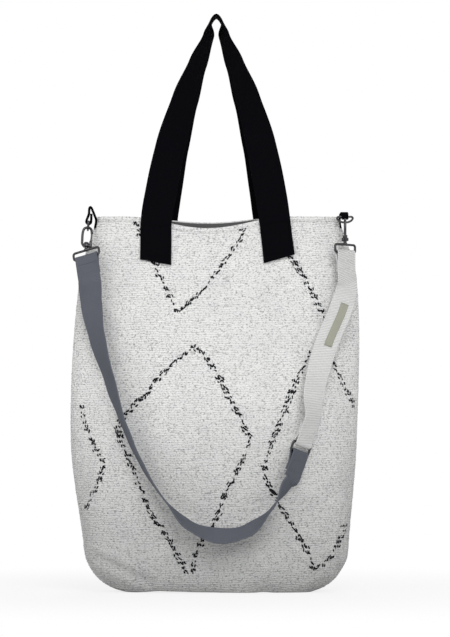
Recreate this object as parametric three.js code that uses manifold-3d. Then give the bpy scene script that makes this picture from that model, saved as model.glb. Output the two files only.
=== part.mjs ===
// A handwoven wool tote bag with a clip-on shoulder strap, in millimetres, +Z up.
// The origin is the centre of the flat base, -Y is the front and +X the wearer's left.
import * as THREE from 'three';
import { mergeVertices } from 'three/addons/utils/BufferGeometryUtils.js';
import Module from 'manifold-3d';

const wasm = await Module();
wasm.setup();

// Bag body
const bodyHeight = 475;
const baseHalfLeft = 108;
const baseHalfRight = 118;
const baseHalfDepth = 38;
const baseSeamShift = 10;
const cornerHeight = 62;
const cornerHalfLeft = 166;
const cornerHalfRight = 171;
const cornerHalfDepth = 56;
const bellyHeight = 195;
const bellyHalfLeft = 182;
const bellyHalfRight = 181.5;
const bellyHalfDepth = 58;
const shoulderHeight = 395;
const shoulderHalfLeft = 171;
const shoulderHalfRight = 181.5;
const shoulderHalfDepth = 37;
const rimHalfLeft = 148;
const rimHalfRight = 158;
const rimHalfDepth = 28;
const rimDipFront = 15;
const rimDipBack = 7;
const rimDipCentre = -8;
const rimDipHalfSpan = 105;
const clothThickness = 3;
const liningThickness = 1.4;
const liningBelowRim = 7;
const liningSlack = 1;

// Gaps
const gap = 0.3;
const seamGap = 0.3;

// Woven diamond lines, lying on the cloth
const lineHeight = 0.9;
const lineWide = 2.6;
const lineNarrow = 0.9;
const lineStep = 10;

// Corners of the diamond pattern: shares of the belly's half width, from the middle, and of the body's height
const upperLine = [[-0.516, 0.958], [-0.225, 0.76], [0.32, 0.952], [0.937, 0.518]];
const diamondTop = [-0.148, 0.657];
const diamondTopRight = [-0.104, 0.648];
const diamondLeft = [-0.665, 0.472];
const diamondRight = [0.253, 0.417];
const diamondFoot = [-0.165, 0.038];
const diamondFootRight = [-0.121, 0.046];
const rightLine = [[0.683, 0.648], [0.353, 0.354], [0.716, 0.055], [0.926, 0.185]];
const leftLine = [[-0.923, 0.495], [-0.758, 0.341], [-0.885, 0.223]];

// Hand straps
const handleWidth = 40;
const handleThickness = 2.5;
const handleRise = 256;
const handleTop = bodyHeight + handleRise;
const handleTopX = 3;
const handleFootLeft = -73.7;
const handleFootRight = 82.7;
const handleRimLeft = -73;
const handleRimRight = 76.5;
const handleSewnLength = 50;
const handleBow = 9;
const handlePinch = 9.5;
const handlePinchDrop = 26;
const handleTurn = 72;
const handleTopGap = 1.2;
const handleTopHalf = 6.5;
const handleTopDrop = 7;
const backHandleInset = 7;

// Side tabs and D rings
const tabWidth = 15;
const tabThickness = 2;
const ringWire = 2.8;
const ringInside = 17;
const ringDrop = 11;
const tabSewnFrom = 12;
const tabSewnTo = 2;
const rightTabBack = 1.8;
const leftBarOut = 11;
const leftBarBelow = 6;
const leftBarForward = 5;
const leftRingLean = 6;
const rightBarOut = 8;
const rightBarForward = 10.5;
const rightRingLean = 48;
const leftBar = new THREE.Vector3(-rimHalfLeft - leftBarOut, -leftBarForward, bodyHeight - leftBarBelow);
const rightBar = new THREE.Vector3(rimHalfRight + rightBarOut, -rightBarForward, bodyHeight);

// Swivel snap hooks
const hookWire = 3.5;
const hookInsideHalf = 3.9;
const hookLength = 23;
const hookNose = 9;
const collarRadius = 4.4;
const collarHeight = 4;
const stemRadius = 1.7;
const stemClearance = 0.3;
const stemHeadRadius = 3;
const stemHeadHeight = 2;
const stemLength = 3;
const gateThickness = 2;
const gateWidth = 3.2;
const pinRadius = 0.75;
const earThickness = 1.1;
const earWide = 3.4;
const leftHookLean = 4;
const leftHookForward = 22;
const leftEyeTurn = -20;
const leftEyeLean = -13;
const rightHookForward = 4;
const rightEyeTurn = 42;

// Strap eyes and the strap
const strapWidth = 30;
const greyThickness = 2;
const whiteThickness = 1.8;
const eyeWire = 3;
const eyeInside = 31.5;
const eyeHeight = 7;
const foldBackLength = 26;
const foldOpen = 0.6;
const buckleWire = 3;
const buckleInside = 31.5;
const buckleHeight = 9;
const labelWidth = 10;
const labelLength = 62;
const labelThickness = 0.8;
const labelShift = 2.5;
const labelStart = 92;

// Where the strap hangs in front of the bag. Each place is a share of the belly's half width, a share of the
// body's height and a share of the stand-off from the cloth, and the direction of the strap's width follows
const strapStandOff = 20;
const greyRoute = [
  [-0.8516, 0.7705, 1.025, 0.98, -0.15, 0.1],
  [-0.8132, 0.6842, 1.02, 0.97, -0.1, 0.2],
  [-0.7308, 0.5768, 0.86, 0.95, -0.1, 0.3],
  [-0.6154, 0.4421, 0.74, 0.9, -0.2, 0.4],
  [-0.489, 0.3368, 0.89, 0.6, -0.7, 0.4],
  [-0.3516, 0.2547, 0.96, 0.05, -1, 0.05],
  [-0.1648, 0.1811, 1.11, -0.25, -0.85, -0.4],
  [0.0331, 0.1547, 1.13, 0, -0.78, -0.62],
  [0.2314, 0.1684, 1.12, 0.25, -0.85, -0.4],
  [0.4077, 0.2295, 1.1, 0.05, -1, 0],
  [0.5124, 0.2947, 1.01, -0.4, -0.9, 0.2],
];
const whiteRoute = [
  [0.9256, 0.8105, 0.83, 0.95, 0.2, 0],
  [0.8815, 0.7516, 1.055, 0.98, 0.1, -0.2],
  [0.7769, 0.6568, 1.02, 0.94, 0, -0.33],
  [0.697, 0.5411, 1, 0.93, 0.2, -0.25],
  [0.6612, 0.48, 1.03, 0.8, 0.5, -0.25],
];
const ringPlace = [0.6006, 0.3853, 0.904];

// Rows, columns and steps of the meshes
const panelColumns = 22;
const baseRows = 2;
const cornerRows = 5;
const wallRows = 10;
const liningColumns = panelColumns * 2;
const wireSides = 8;
const handleSteps = 44;
const greySteps = 44;
const whiteSteps = 22;
const labelSteps = 66;

const radians = THREE.MathUtils.degToRad;
const up = new THREE.Vector3(0, 0, 1);
const acrossX = new THREE.Vector3(1, 0, 0);
const acrossY = new THREE.Vector3(0, 1, 0);

// Materials
function paint(hex, roughness, metalness = 0) {
  return new THREE.MeshStandardMaterial({ color: hex, roughness, metalness });
}
const wool = paint(0xe1e1de, 0.95);
const blackYarn = paint(0x19191e, 0.95);
const liningCloth = paint(0x464646, 0.9);
const blackWebbing = paint(0x08080b, 0.85);
const greyCloth = paint(0x5a5d67, 0.9);
const whiteWebbing = paint(0xdedede, 0.85);
const labelCloth = paint(0xaaac9b, 0.9);
const metal = paint(0x55565a, 0.3, 1);

// A smooth curve through stations of [height, value], used for every profile of the body
function profile(stations, height) {
  const last = stations.length - 1;
  const h = Math.min(Math.max(height, stations[0][0]), stations[last][0]);
  let i = 0;
  while (i < last - 1 && h > stations[i + 1][0]) i += 1;
  const slope = (j) => {
    const a = stations[Math.max(j - 1, 0)];
    const b = stations[Math.min(j + 1, last)];
    return (b[1] - a[1]) / (b[0] - a[0]);
  };
  const [h0, v0] = stations[i];
  const [h1, v1] = stations[i + 1];
  const span = h1 - h0;
  const t = (h - h0) / span;
  const blend = t * t * (3 - 2 * t);
  const ends = (t ** 3 - 2 * t * t + t) * slope(i) + (t ** 3 - t * t) * slope(i + 1);
  return v0 + (v1 - v0) * blend + ends * span;
}

const leftSizes = [baseHalfLeft, cornerHalfLeft, bellyHalfLeft, shoulderHalfLeft, rimHalfLeft];
const rightSizes = [baseHalfRight, cornerHalfRight, bellyHalfRight, shoulderHalfRight, rimHalfRight];
const depthSizes = [baseHalfDepth, cornerHalfDepth, bellyHalfDepth, shoulderHalfDepth, rimHalfDepth];

// The body, or a skin set in from it, turns under below the corner height in a quarter ellipse, and above it
// follows its stations
function bodySize([base, corner, belly, shoulder, rim], height, inset) {
  if (height < cornerHeight) {
    const t = Math.min((cornerHeight - height) / (cornerHeight - inset), 1);
    return base + (corner - base - inset) * Math.sqrt(1 - t * t);
  }
  const stations = [[cornerHeight, corner], [bellyHeight, belly], [shoulderHeight, shoulder], [bodyHeight, rim]];
  return profile(stations, height) - inset;
}

function halfWidth(side, height, inset = 0) {
  return bodySize(side < 0 ? leftSizes : rightSizes, height, inset);
}

// How far the section stands out at u, from -1 at the left seam to 1 at the right: a box below, a lens above
function sectionBulge(u, height) {
  const lens = THREE.MathUtils.smoothstep(height, 0, bodyHeight);
  const flatness = THREE.MathUtils.lerp(5, 2.1, lens);
  const roundness = THREE.MathUtils.lerp(0.5, 0.85, lens);
  return Math.max(1 - Math.abs(u) ** flatness, 0) ** roundness;
}

// A point of the body, set in from the outer face by inset; face is -1 at the front and 1 at the back
function bodyPoint(face, u, height, inset) {
  const y = face * (seamGap / 2 + bodySize(depthSizes, height, inset) * sectionBulge(u, height));
  return new THREE.Vector3(u * halfWidth(u, height, inset), y, height);
}

// The outer face of the body at x and height, for what lies on it
function bodySurface(face, x, height) {
  const u = THREE.MathUtils.clamp(x / halfWidth(x, height), -1, 1);
  return bodyPoint(face, u, height, 0).y;
}

function rimHeight(face, u) {
  const x = u * halfWidth(u, bodyHeight);
  const t = THREE.MathUtils.clamp((x - rimDipCentre) / rimDipHalfSpan, -1, 1);
  const dip = face < 0 ? rimDipFront : rimDipBack;
  return bodyHeight - dip * Math.cos((t * Math.PI) / 2) ** 2;
}

// Meshes from grids of points
function geometryFrom(points, faces) {
  const geometry = new THREE.BufferGeometry();
  geometry.setAttribute('position', new THREE.Float32BufferAttribute(points.flatMap((p) => [p.x, p.y, p.z]), 3));
  geometry.setIndex(faces);
  return geometry;
}

function node(name, geometry, material) {
  const mesh = new THREE.Mesh(geometry, material);
  mesh.name = name;
  return mesh;
}

function quad(faces, a, b, c, d, flip) {
  if (flip) faces.push(a, c, b, a, d, c);
  else faces.push(a, b, c, a, c, d);
}

// A closed skin between two grids of the same rows and columns, sewn together round their edges
function shellBetween(outer, inner, flip) {
  const rows = outer.length;
  const cols = outer[0].length;
  const points = [...outer.flat(), ...inner.flat()];
  const faces = [];
  const out = (r, c) => r * cols + c;
  const inn = (r, c) => rows * cols + r * cols + c;
  for (let r = 0; r < rows - 1; r += 1) {
    for (let c = 0; c < cols - 1; c += 1) {
      quad(faces, out(r, c), out(r, c + 1), out(r + 1, c + 1), out(r + 1, c), flip);
      quad(faces, inn(r, c), inn(r + 1, c), inn(r + 1, c + 1), inn(r, c + 1), flip);
    }
  }
  for (let c = 0; c < cols - 1; c += 1) {
    quad(faces, out(0, c), inn(0, c), inn(0, c + 1), out(0, c + 1), flip);
    quad(faces, out(rows - 1, c + 1), inn(rows - 1, c + 1), inn(rows - 1, c), out(rows - 1, c), flip);
  }
  for (let r = 0; r < rows - 1; r += 1) {
    quad(faces, out(r + 1, 0), inn(r + 1, 0), inn(r, 0), out(r, 0), flip);
    quad(faces, out(r, cols - 1), inn(r, cols - 1), inn(r + 1, cols - 1), out(r + 1, cols - 1), flip);
  }
  return geometryFrom(points, faces);
}

// The outer panels: each is half of the base and one face, up to the rim
function rowHeights(inset, top) {
  const corner = Array.from({ length: cornerRows }, (_, r) => {
    const turn = Math.cos((r / cornerRows) * (Math.PI / 2));
    return cornerHeight - (cornerHeight - inset) * turn;
  });
  const wall = Array.from({ length: wallRows + 1 }, (_, r) => THREE.MathUtils.lerp(cornerHeight, top, r / wallRows));
  return [...corner, ...wall];
}

function panelGrid(face, inset) {
  const acrossShares = Array.from(
    { length: panelColumns + 1 },
    (_, i) => Math.sin((i / panelColumns - 0.5) * Math.PI),
  );
  const columns = acrossShares.map((u) => {
    const foot = bodyPoint(face, u, inset, inset);
    const seam = baseSeamShift * (1 - u * u) + face * (seamGap / 2);
    const base = Array.from({ length: baseRows }, (_, r) => (
      new THREE.Vector3(foot.x, THREE.MathUtils.lerp(seam, foot.y, r / baseRows), foot.z)
    ));
    return [...base, ...rowHeights(inset, rimHeight(face, u)).map((height) => bodyPoint(face, u, height, inset))];
  });
  return columns[0].map((_, r) => columns.map((column) => column[r]));
}

function panel(name, face) {
  const geometry = shellBetween(panelGrid(face, 0), panelGrid(face, clothThickness), face > 0);
  return node(name, geometry, wool);
}

// A place on the front or back of the body, from shares of the belly's half width and of the body's height
function placeOn(face, acrossShare, upShare, lift) {
  const x = acrossShare * (acrossShare < 0 ? bellyHalfLeft : bellyHalfRight);
  const height = upShare * bodyHeight;
  return new THREE.Vector3(x, bodySurface(face, x, height) + face * lift, height);
}

// The lining: one cup inside the panels, open at the mouth
function liningRings(inset) {
  const columns = Array.from({ length: liningColumns }, (_, i) => {
    const angle = (i / liningColumns) * Math.PI * 2;
    const face = Math.sin(angle) < 0 ? -1 : 1;
    const u = Math.cos(angle);
    return rowHeights(inset, rimHeight(face, u) - liningBelowRim).map((height) => {
      const p = bodyPoint(face, u, height, inset);
      p.y -= face * (seamGap / 2);
      return p;
    });
  });
  return columns[0].map((_, r) => columns.map((column) => column[r]));
}

function lining() {
  const outerInset = clothThickness + liningSlack;
  const innerInset = outerInset + liningThickness;
  const rings = [...liningRings(outerInset), ...liningRings(innerInset).reverse()];
  const points = [new THREE.Vector3(0, 0, outerInset), ...rings.flat(), new THREE.Vector3(0, 0, innerInset)];
  const faces = [];
  const at = (r, i) => 1 + r * liningColumns + (i % liningColumns);
  for (let i = 0; i < liningColumns; i += 1) {
    faces.push(0, at(0, i + 1), at(0, i));
    faces.push(points.length - 1, at(rings.length - 1, i), at(rings.length - 1, i + 1));
    for (let r = 0; r < rings.length - 1; r += 1) {
      quad(faces, at(r, i), at(r, i + 1), at(r + 1, i + 1), at(r + 1, i));
    }
  }
  return node('lining', geometryFrom(points, faces), liningCloth);
}

// The black lines of the diamond pattern: stepped floats of yarn that follow the face of the cloth
function fleckLine(name, face, corners) {
  const turns = corners.map(([acrossShare, upShare]) => {
    const place = placeOn(face, acrossShare, upShare, 0);
    return new THREE.Vector2(place.x, place.z);
  });
  const points = [turns[0]];
  for (let i = 1; i < turns.length; i += 1) {
    const steps = Math.round(turns[i].distanceTo(turns[i - 1]) / lineStep);
    for (let n = 1; n <= steps; n += 1) points.push(turns[i - 1].clone().lerp(turns[i], n / steps));
  }
  const row = (side, lift) => points.map((point, i) => {
    const along = points[Math.min(i + 1, points.length - 1)].clone().sub(points[Math.max(i - 1, 0)]).normalize();
    const width = i % 2 ? lineWide : lineNarrow;
    const x = point.x - side * along.y * width;
    const height = point.y + side * along.x * width;
    return new THREE.Vector3(x, bodySurface(face, x, height) + face * lift, height);
  });
  const outer = [row(-1, gap + lineHeight), row(1, gap + lineHeight)];
  const inner = [row(-1, gap), row(1, gap)];
  return node(name, shellBetween(outer, inner, face > 0), blackYarn);
}

function fleckLines(face) {
  const where = face < 0 ? 'front' : 'back';
  return [
    fleckLine(`${where}_upper_line`, face, upperLine),
    fleckLine(`${where}_diamond_left_line`, face, [diamondTop, diamondLeft, diamondFoot]),
    fleckLine(`${where}_diamond_right_line`, face, [diamondTopRight, diamondRight, diamondFootRight]),
    fleckLine(`${where}_right_line`, face, rightLine),
    fleckLine(`${where}_left_line`, face, leftLine),
  ];
}

// A flat strap through stations, each with a place and the direction of its width
function ribbon(stations, width, thickness) {
  const outer = [[], []];
  const inner = [[], []];
  stations.forEach((s, i) => {
    const before = stations[Math.max(i - 1, 0)].place;
    const after = stations[Math.min(i + 1, stations.length - 1)].place;
    const along = after.clone().sub(before).normalize();
    const across = s.across.clone().addScaledVector(along, -s.across.dot(along)).normalize();
    const normal = across.clone().cross(along).normalize();
    for (const side of [0, 1]) {
      const edge = s.place.clone().addScaledVector(across, (side - 0.5) * width);
      outer[side].push(edge.clone().addScaledVector(normal, thickness / 2));
      inner[side].push(edge.clone().addScaledVector(normal, -thickness / 2));
    }
  });
  return shellBetween(outer, inner, true);
}

function station(place, across) {
  return { place, across: across.clone().normalize() };
}

// Stations along a smooth route through control stations
function smoothStations(controls, count) {
  const curve = new THREE.CatmullRomCurve3(controls.map((c) => c.place), false, 'centripetal');
  const lengths = curve.getLengths((controls.length - 1) * 20);
  const knots = controls.map((_, i) => lengths[i * 20] / lengths.at(-1));
  return Array.from({ length: count + 1 }, (_, n) => {
    const t = n / count;
    let i = 0;
    while (i < knots.length - 2 && t > knots[i + 1]) i += 1;
    const local = THREE.MathUtils.smoothstep(t, knots[i], knots[i + 1]);
    return station(curve.getPointAt(t), controls[i].across.clone().lerp(controls[i + 1].across, local));
  });
}

// A hand strap: sewn flat on the outside, then up and over a point, turning edge on towards the top
function handleLeg(face, side, inset) {
  const lift = gap + handleThickness / 2 + lineHeight + gap;
  const foot = (x, height) => {
    const slope = (bodySurface(face, x + 5, height) - bodySurface(face, x - 5, height)) / 10;
    const y = bodySurface(face, x, height) + face * lift;
    return station(new THREE.Vector3(x, y, height), new THREE.Vector3(1, slope, 0));
  };
  const footX = (side < 0 ? handleFootLeft : handleFootRight) - side * inset;
  const rimX = (side < 0 ? handleRimLeft : handleRimRight) - side * inset;
  const rim = rimHeight(face, rimX / halfWidth(rimX, bodyHeight));
  const topX = handleTopX + side * handlePinch;
  const topY = face * (handleWidth / 2 + handleTopGap);
  const atRim = foot(rimX, rim);
  const rising = [0.15, 0.4, 0.65, 0.85, 1].map((t) => {
    const x = THREE.MathUtils.lerp(rimX, topX, t) + side * handleBow * Math.sin(Math.PI * t);
    const y = THREE.MathUtils.lerp(atRim.place.y, topY, t);
    const height = THREE.MathUtils.lerp(rim, handleTop - handlePinchDrop, t);
    const turn = radians(handleTurn * t ** 1.4) * side;
    return station(new THREE.Vector3(x, y, height), new THREE.Vector3(Math.cos(turn), face * Math.sin(turn), 0));
  });
  const halfSewn = foot((footX + rimX) / 2, rim - handleSewnLength / 2);
  return [foot(footX, rim - handleSewnLength), halfSewn, atRim, ...rising];
}

function handle(name, face, inset) {
  const topY = face * (handleWidth / 2 + handleTopGap);
  const over = [-1, 0, 1].map((side) => {
    const height = handleTop - handleThickness / 2 - Math.abs(side) * handleTopDrop;
    return station(new THREE.Vector3(handleTopX + side * handleTopHalf, topY, height), acrossY);
  });
  const controls = [...handleLeg(face, -1, inset), ...over, ...handleLeg(face, 1, inset).reverse()];
  // Each width points the same way as the one before it, so the strap isn't turned over half way
  for (let i = 1; i < controls.length; i += 1) {
    if (controls[i].across.dot(controls[i - 1].across) < 0) controls[i].across.negate();
  }
  const stations = smoothStations(controls, handleSteps);
  return node(name, ribbon(stations, handleWidth, handleThickness), blackWebbing);
}

// Solids joined and cut
function solid(geometry) {
  const bare = geometry.clone();
  bare.deleteAttribute('normal');
  bare.deleteAttribute('uv');
  const merged = mergeVertices(bare, 1e-4);
  return new wasm.Manifold(new wasm.Mesh({
    numProp: 3,
    vertProperties: new Float32Array(merged.attributes.position.array),
    triVerts: new Uint32Array(merged.index.array),
  }));
}

function geometryOf(body) {
  const mesh = body.getMesh();
  const geometry = new THREE.BufferGeometry();
  geometry.setAttribute('position', new THREE.BufferAttribute(new Float32Array(mesh.vertProperties), 3));
  geometry.setIndex(new THREE.BufferAttribute(new Uint32Array(mesh.triVerts), 1));
  return geometry;
}

function joined(...geometries) {
  return geometries.map(solid).reduce((a, b) => a.add(b));
}

// Round wire bent along a path
function wire(path, diameter, steps) {
  const section = new THREE.Shape();
  for (let i = 0; i < wireSides; i += 1) {
    const angle = (i / wireSides) * Math.PI * 2;
    const corner = [Math.cos(angle) * (diameter / 2), Math.sin(angle) * (diameter / 2)];
    if (i === 0) section.moveTo(...corner);
    else section.lineTo(...corner);
  }
  return new THREE.ExtrudeGeometry(section, { steps, extrudePath: path, bevelEnabled: false });
}

// A closed wire ring through points in its own plane
function closedWire(points, diameter) {
  const count = points.length;
  const rings = points.map((p, i) => {
    const along = points[(i + 1) % count].clone().sub(points[(i + count - 1) % count]).normalize();
    const side = along.clone().cross(acrossY).normalize();
    return Array.from({ length: wireSides }, (_, k) => {
      const angle = ((k + 0.5) / wireSides) * Math.PI * 2;
      return p.clone()
        .addScaledVector(side, Math.cos(angle) * (diameter / 2))
        .addScaledVector(acrossY, Math.sin(angle) * (diameter / 2));
    });
  });
  const faces = [];
  rings.forEach((_, r) => {
    for (let k = 0; k < wireSides; k += 1) {
      const next = (r + 1) % count;
      const a = r * wireSides + k;
      const b = r * wireSides + ((k + 1) % wireSides);
      quad(faces, a, next * wireSides + k, next * wireSides + ((k + 1) % wireSides), b);
    }
  });
  return geometryFrom(rings.flat(), faces);
}

// The outline of a rounded rectangle in the XZ plane, as points for a wire
function roundedOutline(halfX, top, bottom, corner) {
  const points = [];
  const centres = [[halfX - corner, top - corner, 0], [-halfX + corner, top - corner, 90],
    [-halfX + corner, bottom + corner, 180], [halfX - corner, bottom + corner, 270]];
  for (const [x, z, start] of centres) {
    for (const step of [0, 30, 60, 90]) {
      const angle = radians(start + step);
      points.push(new THREE.Vector3(x + corner * Math.cos(angle), 0, z + corner * Math.sin(angle)));
    }
  }
  return points;
}

// A D ring in the XZ plane: its straight bar through the origin along X, its bow hanging below
function dRing(name) {
  const half = ringInside / 2 + ringWire / 2;
  const points = [new THREE.Vector3(half - 1.5, 0, 0), new THREE.Vector3(0, 0, 0), new THREE.Vector3(-half + 1.5, 0, 0)];
  for (let i = 0; i <= 12; i += 1) {
    const angle = Math.PI + (i / 12) * Math.PI;
    points.push(new THREE.Vector3(half * Math.cos(angle), 0, -2 + (ringDrop - 2) * Math.sin(angle)));
  }
  return node(name, closedWire(points, ringWire), metal);
}

// A snap hook in its own frame: its bow at the origin, in the XZ plane, hanging down -Z
const hookSide = hookInsideHalf + hookWire / 2;
const collarTop = -hookLength;
const pinX = hookSide - 0.3;
const pinZ = collarTop + 2.6;
const pinHole = pinRadius + 0.2;
const gateHalf = gateWidth / 2;

function cylinderY(radius, from, to, x, z) {
  return new THREE.CylinderGeometry(radius, radius, to - from, 16).translate(0, (from + to) / 2, 0).translate(x, 0, z);
}

function cylinderZ(radius, from, to) {
  return new THREE.CylinderGeometry(radius, radius, to - from, 16).rotateX(Math.PI / 2).translate(0, 0, (from + to) / 2);
}

function block(x0, x1, y0, y1, z0, z1) {
  return new THREE.BoxGeometry(x1 - x0, y1 - y0, z1 - z0).translate((x0 + x1) / 2, (y0 + y1) / 2, (z0 + z1) / 2);
}

function claw(name) {
  const path = new THREE.CatmullRomCurve3([
    [-2.9, collarTop - 3], [-hookSide * 0.93, collarTop + 0.5], [-hookSide, collarTop + 5], [-hookSide, -hookSide - 1],
    [-hookSide * 0.72, -hookSide * 0.3], [0, 0], [hookSide * 0.72, -hookSide * 0.3], [hookSide, -hookSide - 1],
    [hookSide, -hookNose],
  ].map(([x, z]) => new THREE.Vector3(x, 0, z)), false, 'centripetal');
  const ear = (side) => {
    const inside = side * (gateHalf + gap);
    const outside = side * (gateHalf + gap + earThickness);
    const [y0, y1] = [Math.min(inside, outside), Math.max(inside, outside)];
    return block(pinX - earWide / 2, pinX + earWide / 2, y0, y1, collarTop - collarHeight, pinZ + earWide / 2);
  };
  const bridge = block(1, pinX + earWide / 2, -gateHalf - gap - earThickness, gateHalf + gap + earThickness,
    collarTop - collarHeight, collarTop - 0.6);
  const body = joined(wire(path, hookWire, 26), cylinderZ(collarRadius, collarTop - collarHeight, collarTop), bridge, ear(-1), ear(1));
  const stemHole = solid(cylinderZ(stemRadius + stemClearance, collarTop - collarHeight - 2, collarTop + 1));
  const headRoom = solid(cylinderZ(stemHeadRadius + gap, collarTop, collarTop + stemHeadHeight + 2 * gap + 0.4));
  const pinRoom = solid(cylinderY(pinHole, -10, 10, pinX, pinZ));
  return node(name, geometryOf(body.subtract(stemHole).subtract(headRoom).subtract(pinRoom)), metal);
}

const springWide = 0.9;
const gateKnuckle = gateHalf - springWide - gap;

function gate(name) {
  const bar = block(hookSide - gateThickness / 2, hookSide + gateThickness / 2, -gateHalf, gateHalf, pinZ + 2.3, -hookNose - gap);
  const root = block(hookSide - gateThickness / 2, hookSide + gateThickness / 2, -gateHalf, gateKnuckle, pinZ, pinZ + 2.6);
  const knuckle = cylinderY(1.6, -gateHalf, gateKnuckle, pinX, pinZ);
  return node(name, geometryOf(joined(bar, root, knuckle).subtract(solid(cylinderY(pinHole, -10, 10, pinX, pinZ)))), metal);
}

function gatePin(name) {
  const half = gateHalf + gap + earThickness;
  return node(name, cylinderY(pinRadius, -half, half, pinX, pinZ), metal);
}

function gateSpring(name) {
  const ring = solid(cylinderY(1.55, gateKnuckle + gap, gateHalf, pinX, pinZ));
  return node(name, geometryOf(ring.subtract(solid(cylinderY(pinHole, -10, 10, pinX, pinZ)))), metal);
}

// The swivel eye in the hook's frame: a headed stem through the collar, and the loop for the strap below it
const eyeBarTop = collarTop - collarHeight - stemLength - eyeWire / 2;
const eyeBarDrop = eyeHeight + eyeWire;

function eyeLoopMatrix(turn, lean) {
  return new THREE.Matrix4().makeTranslation(0, 0, eyeBarTop)
    .multiply(new THREE.Matrix4().makeRotationZ(radians(turn)))
    .multiply(new THREE.Matrix4().makeRotationY(radians(lean)));
}

function strapEye(name, turn, lean) {
  const half = eyeInside / 2 + eyeWire / 2;
  const loop = closedWire(roundedOutline(half, 0, -eyeBarDrop, 3), eyeWire).applyMatrix4(eyeLoopMatrix(turn, lean));
  const stem = cylinderZ(stemRadius, eyeBarTop, collarTop + gap + 0.5);
  const head = cylinderZ(stemHeadRadius, collarTop + gap, collarTop + gap + stemHeadHeight);
  return node(name, geometryOf(joined(loop, stem, head)), metal);
}

function addHook(group, side, eyeTurn, eyeLean) {
  group.add(claw(`claw_${side}`), gate(`gate_${side}`), gatePin(`gate_pin_${side}`), gateSpring(`gate_spring_${side}`));
  group.add(strapEye(`strap_eye_${side}`, eyeTurn, eyeLean));
}

// Where the rings and hooks hang
function dRingGroup(name, bar, turn, lean) {
  const group = new THREE.Group();
  group.position.copy(bar);
  group.rotation.set(radians(lean), 0, radians(turn), 'ZYX');
  group.add(dRing(name));
  return group;
}

const linkDrop = (ringWire + hookWire) / 2 + gap;
const leftRing = dRingGroup('dring_left', leftBar, 90, leftRingLean);
const rightRing = dRingGroup('dring_right', rightBar, 0, -rightRingLean);

function bowPoint(ring) {
  ring.updateMatrixWorld(true);
  return new THREE.Vector3(0, 0, -ringDrop).applyMatrix4(ring.matrixWorld).addScaledVector(up, linkDrop);
}

function hookGroup(ring, turn, lean, forward) {
  const group = new THREE.Group();
  group.position.copy(bowPoint(ring));
  const tilt = new THREE.Quaternion().setFromAxisAngle(acrossX, radians(-forward));
  const turned = new THREE.Quaternion().setFromAxisAngle(up, radians(turn));
  const leaned = new THREE.Quaternion().setFromAxisAngle(acrossY, radians(lean));
  group.quaternion.copy(tilt.multiply(turned).multiply(leaned));
  return group;
}

const leftHook = hookGroup(leftRing, 0, leftHookLean, leftHookForward);
const rightHook = hookGroup(rightRing, 90, 0, rightHookForward);
addHook(leftHook, 'left', leftEyeTurn, leftEyeLean);
addHook(rightHook, 'right', rightEyeTurn - 90, 0);

// The rectangular ring between the two straps
const buckleBar = new THREE.Vector3(0.62, 0.74, -0.25).normalize();
const buckleDown = new THREE.Vector3(-0.3, -0.02, -0.95);
buckleDown.addScaledVector(buckleBar, -buckleDown.dot(buckleBar)).normalize();
const buckleCentre = placeOn(-1, ringPlace[0], ringPlace[1], ringPlace[2] * strapStandOff);
const buckleNormal = buckleBar.clone().cross(buckleDown);
const buckleBack = buckleNormal.clone().multiplyScalar(Math.sign(buckleNormal.y));

function buckle() {
  const halfX = buckleInside / 2 + buckleWire / 2;
  const halfZ = buckleHeight / 2 + buckleWire / 2;
  const mesh = node('rectangular_ring', closedWire(roundedOutline(halfX, halfZ, -halfZ, 2.5), buckleWire), metal);
  mesh.applyMatrix4(new THREE.Matrix4()
    .makeBasis(buckleBar, buckleNormal, buckleDown.clone().negate()).setPosition(buckleCentre));
  return mesh;
}

// The end of a strap, folded round a bar: from its sewn end, behind, up and over, to the front of the bar
function foldedEnd(bar, across, down, back, barRadius, thickness) {
  const reach = barRadius + gap + thickness / 2;
  const behind = thickness + gap - reach;
  const at = (d, b) => station(bar.clone().addScaledVector(down, d).addScaledVector(back, b), across);
  const stations = [
    at(foldBackLength, behind + foldOpen), at(foldBackLength * 0.75, behind + foldOpen * 0.6),
    at(foldBackLength * 0.5, behind), at(foldBackLength * 0.27, (behind + reach) / 2),
  ];
  for (let angle = 0; angle <= 180; angle += 30) {
    stations.push(at(-reach * Math.sin(radians(angle)), reach * Math.cos(radians(angle))));
  }
  for (const share of [0.27, 0.5, 1, 1.3]) stations.push(at(foldBackLength * share, -reach));
  return stations;
}

function eyeFrame(hook, turn, lean) {
  hook.updateMatrixWorld(true);
  const matrix = hook.matrixWorld.clone().multiply(eyeLoopMatrix(turn, lean));
  const bar = new THREE.Vector3(0, 0, -eyeBarDrop).applyMatrix4(matrix);
  const across = acrossX.clone().transformDirection(matrix);
  const down = up.clone().negate().transformDirection(matrix);
  const back = acrossY.clone().transformDirection(matrix);
  return { bar, across, down, back };
}

// The part of a strap that hangs free in front of the bag
function hanging(places) {
  return places.map(([acrossShare, upShare, offShare, ...width]) => (
    station(placeOn(-1, acrossShare, upShare, offShare * strapStandOff), new THREE.Vector3(...width))
  ));
}

// Both straps: the end folded round the hook's eye, the free part, and the end folded round the ring
function strapRoute(eye, places, towards, thickness) {
  const top = foldedEnd(eye.bar, eye.across, eye.down, eye.back, eyeWire / 2, thickness);
  const bar = buckleCentre.clone().addScaledVector(buckleDown, (towards * (buckleHeight + buckleWire)) / 2);
  const across = buckleBar.clone().multiplyScalar(-towards);
  const down = buckleDown.clone().multiplyScalar(towards);
  const foot = foldedEnd(bar, across, down, buckleBack, buckleWire / 2, thickness).reverse();
  return { top, hang: hanging(places), foot };
}

function greyStrap() {
  return strapRoute(eyeFrame(leftHook, leftEyeTurn, leftEyeLean), greyRoute, 1, greyThickness);
}

function whiteStrap() {
  return strapRoute(eyeFrame(rightHook, rightEyeTurn - 90, 0), whiteRoute, -1, whiteThickness);
}

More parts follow.
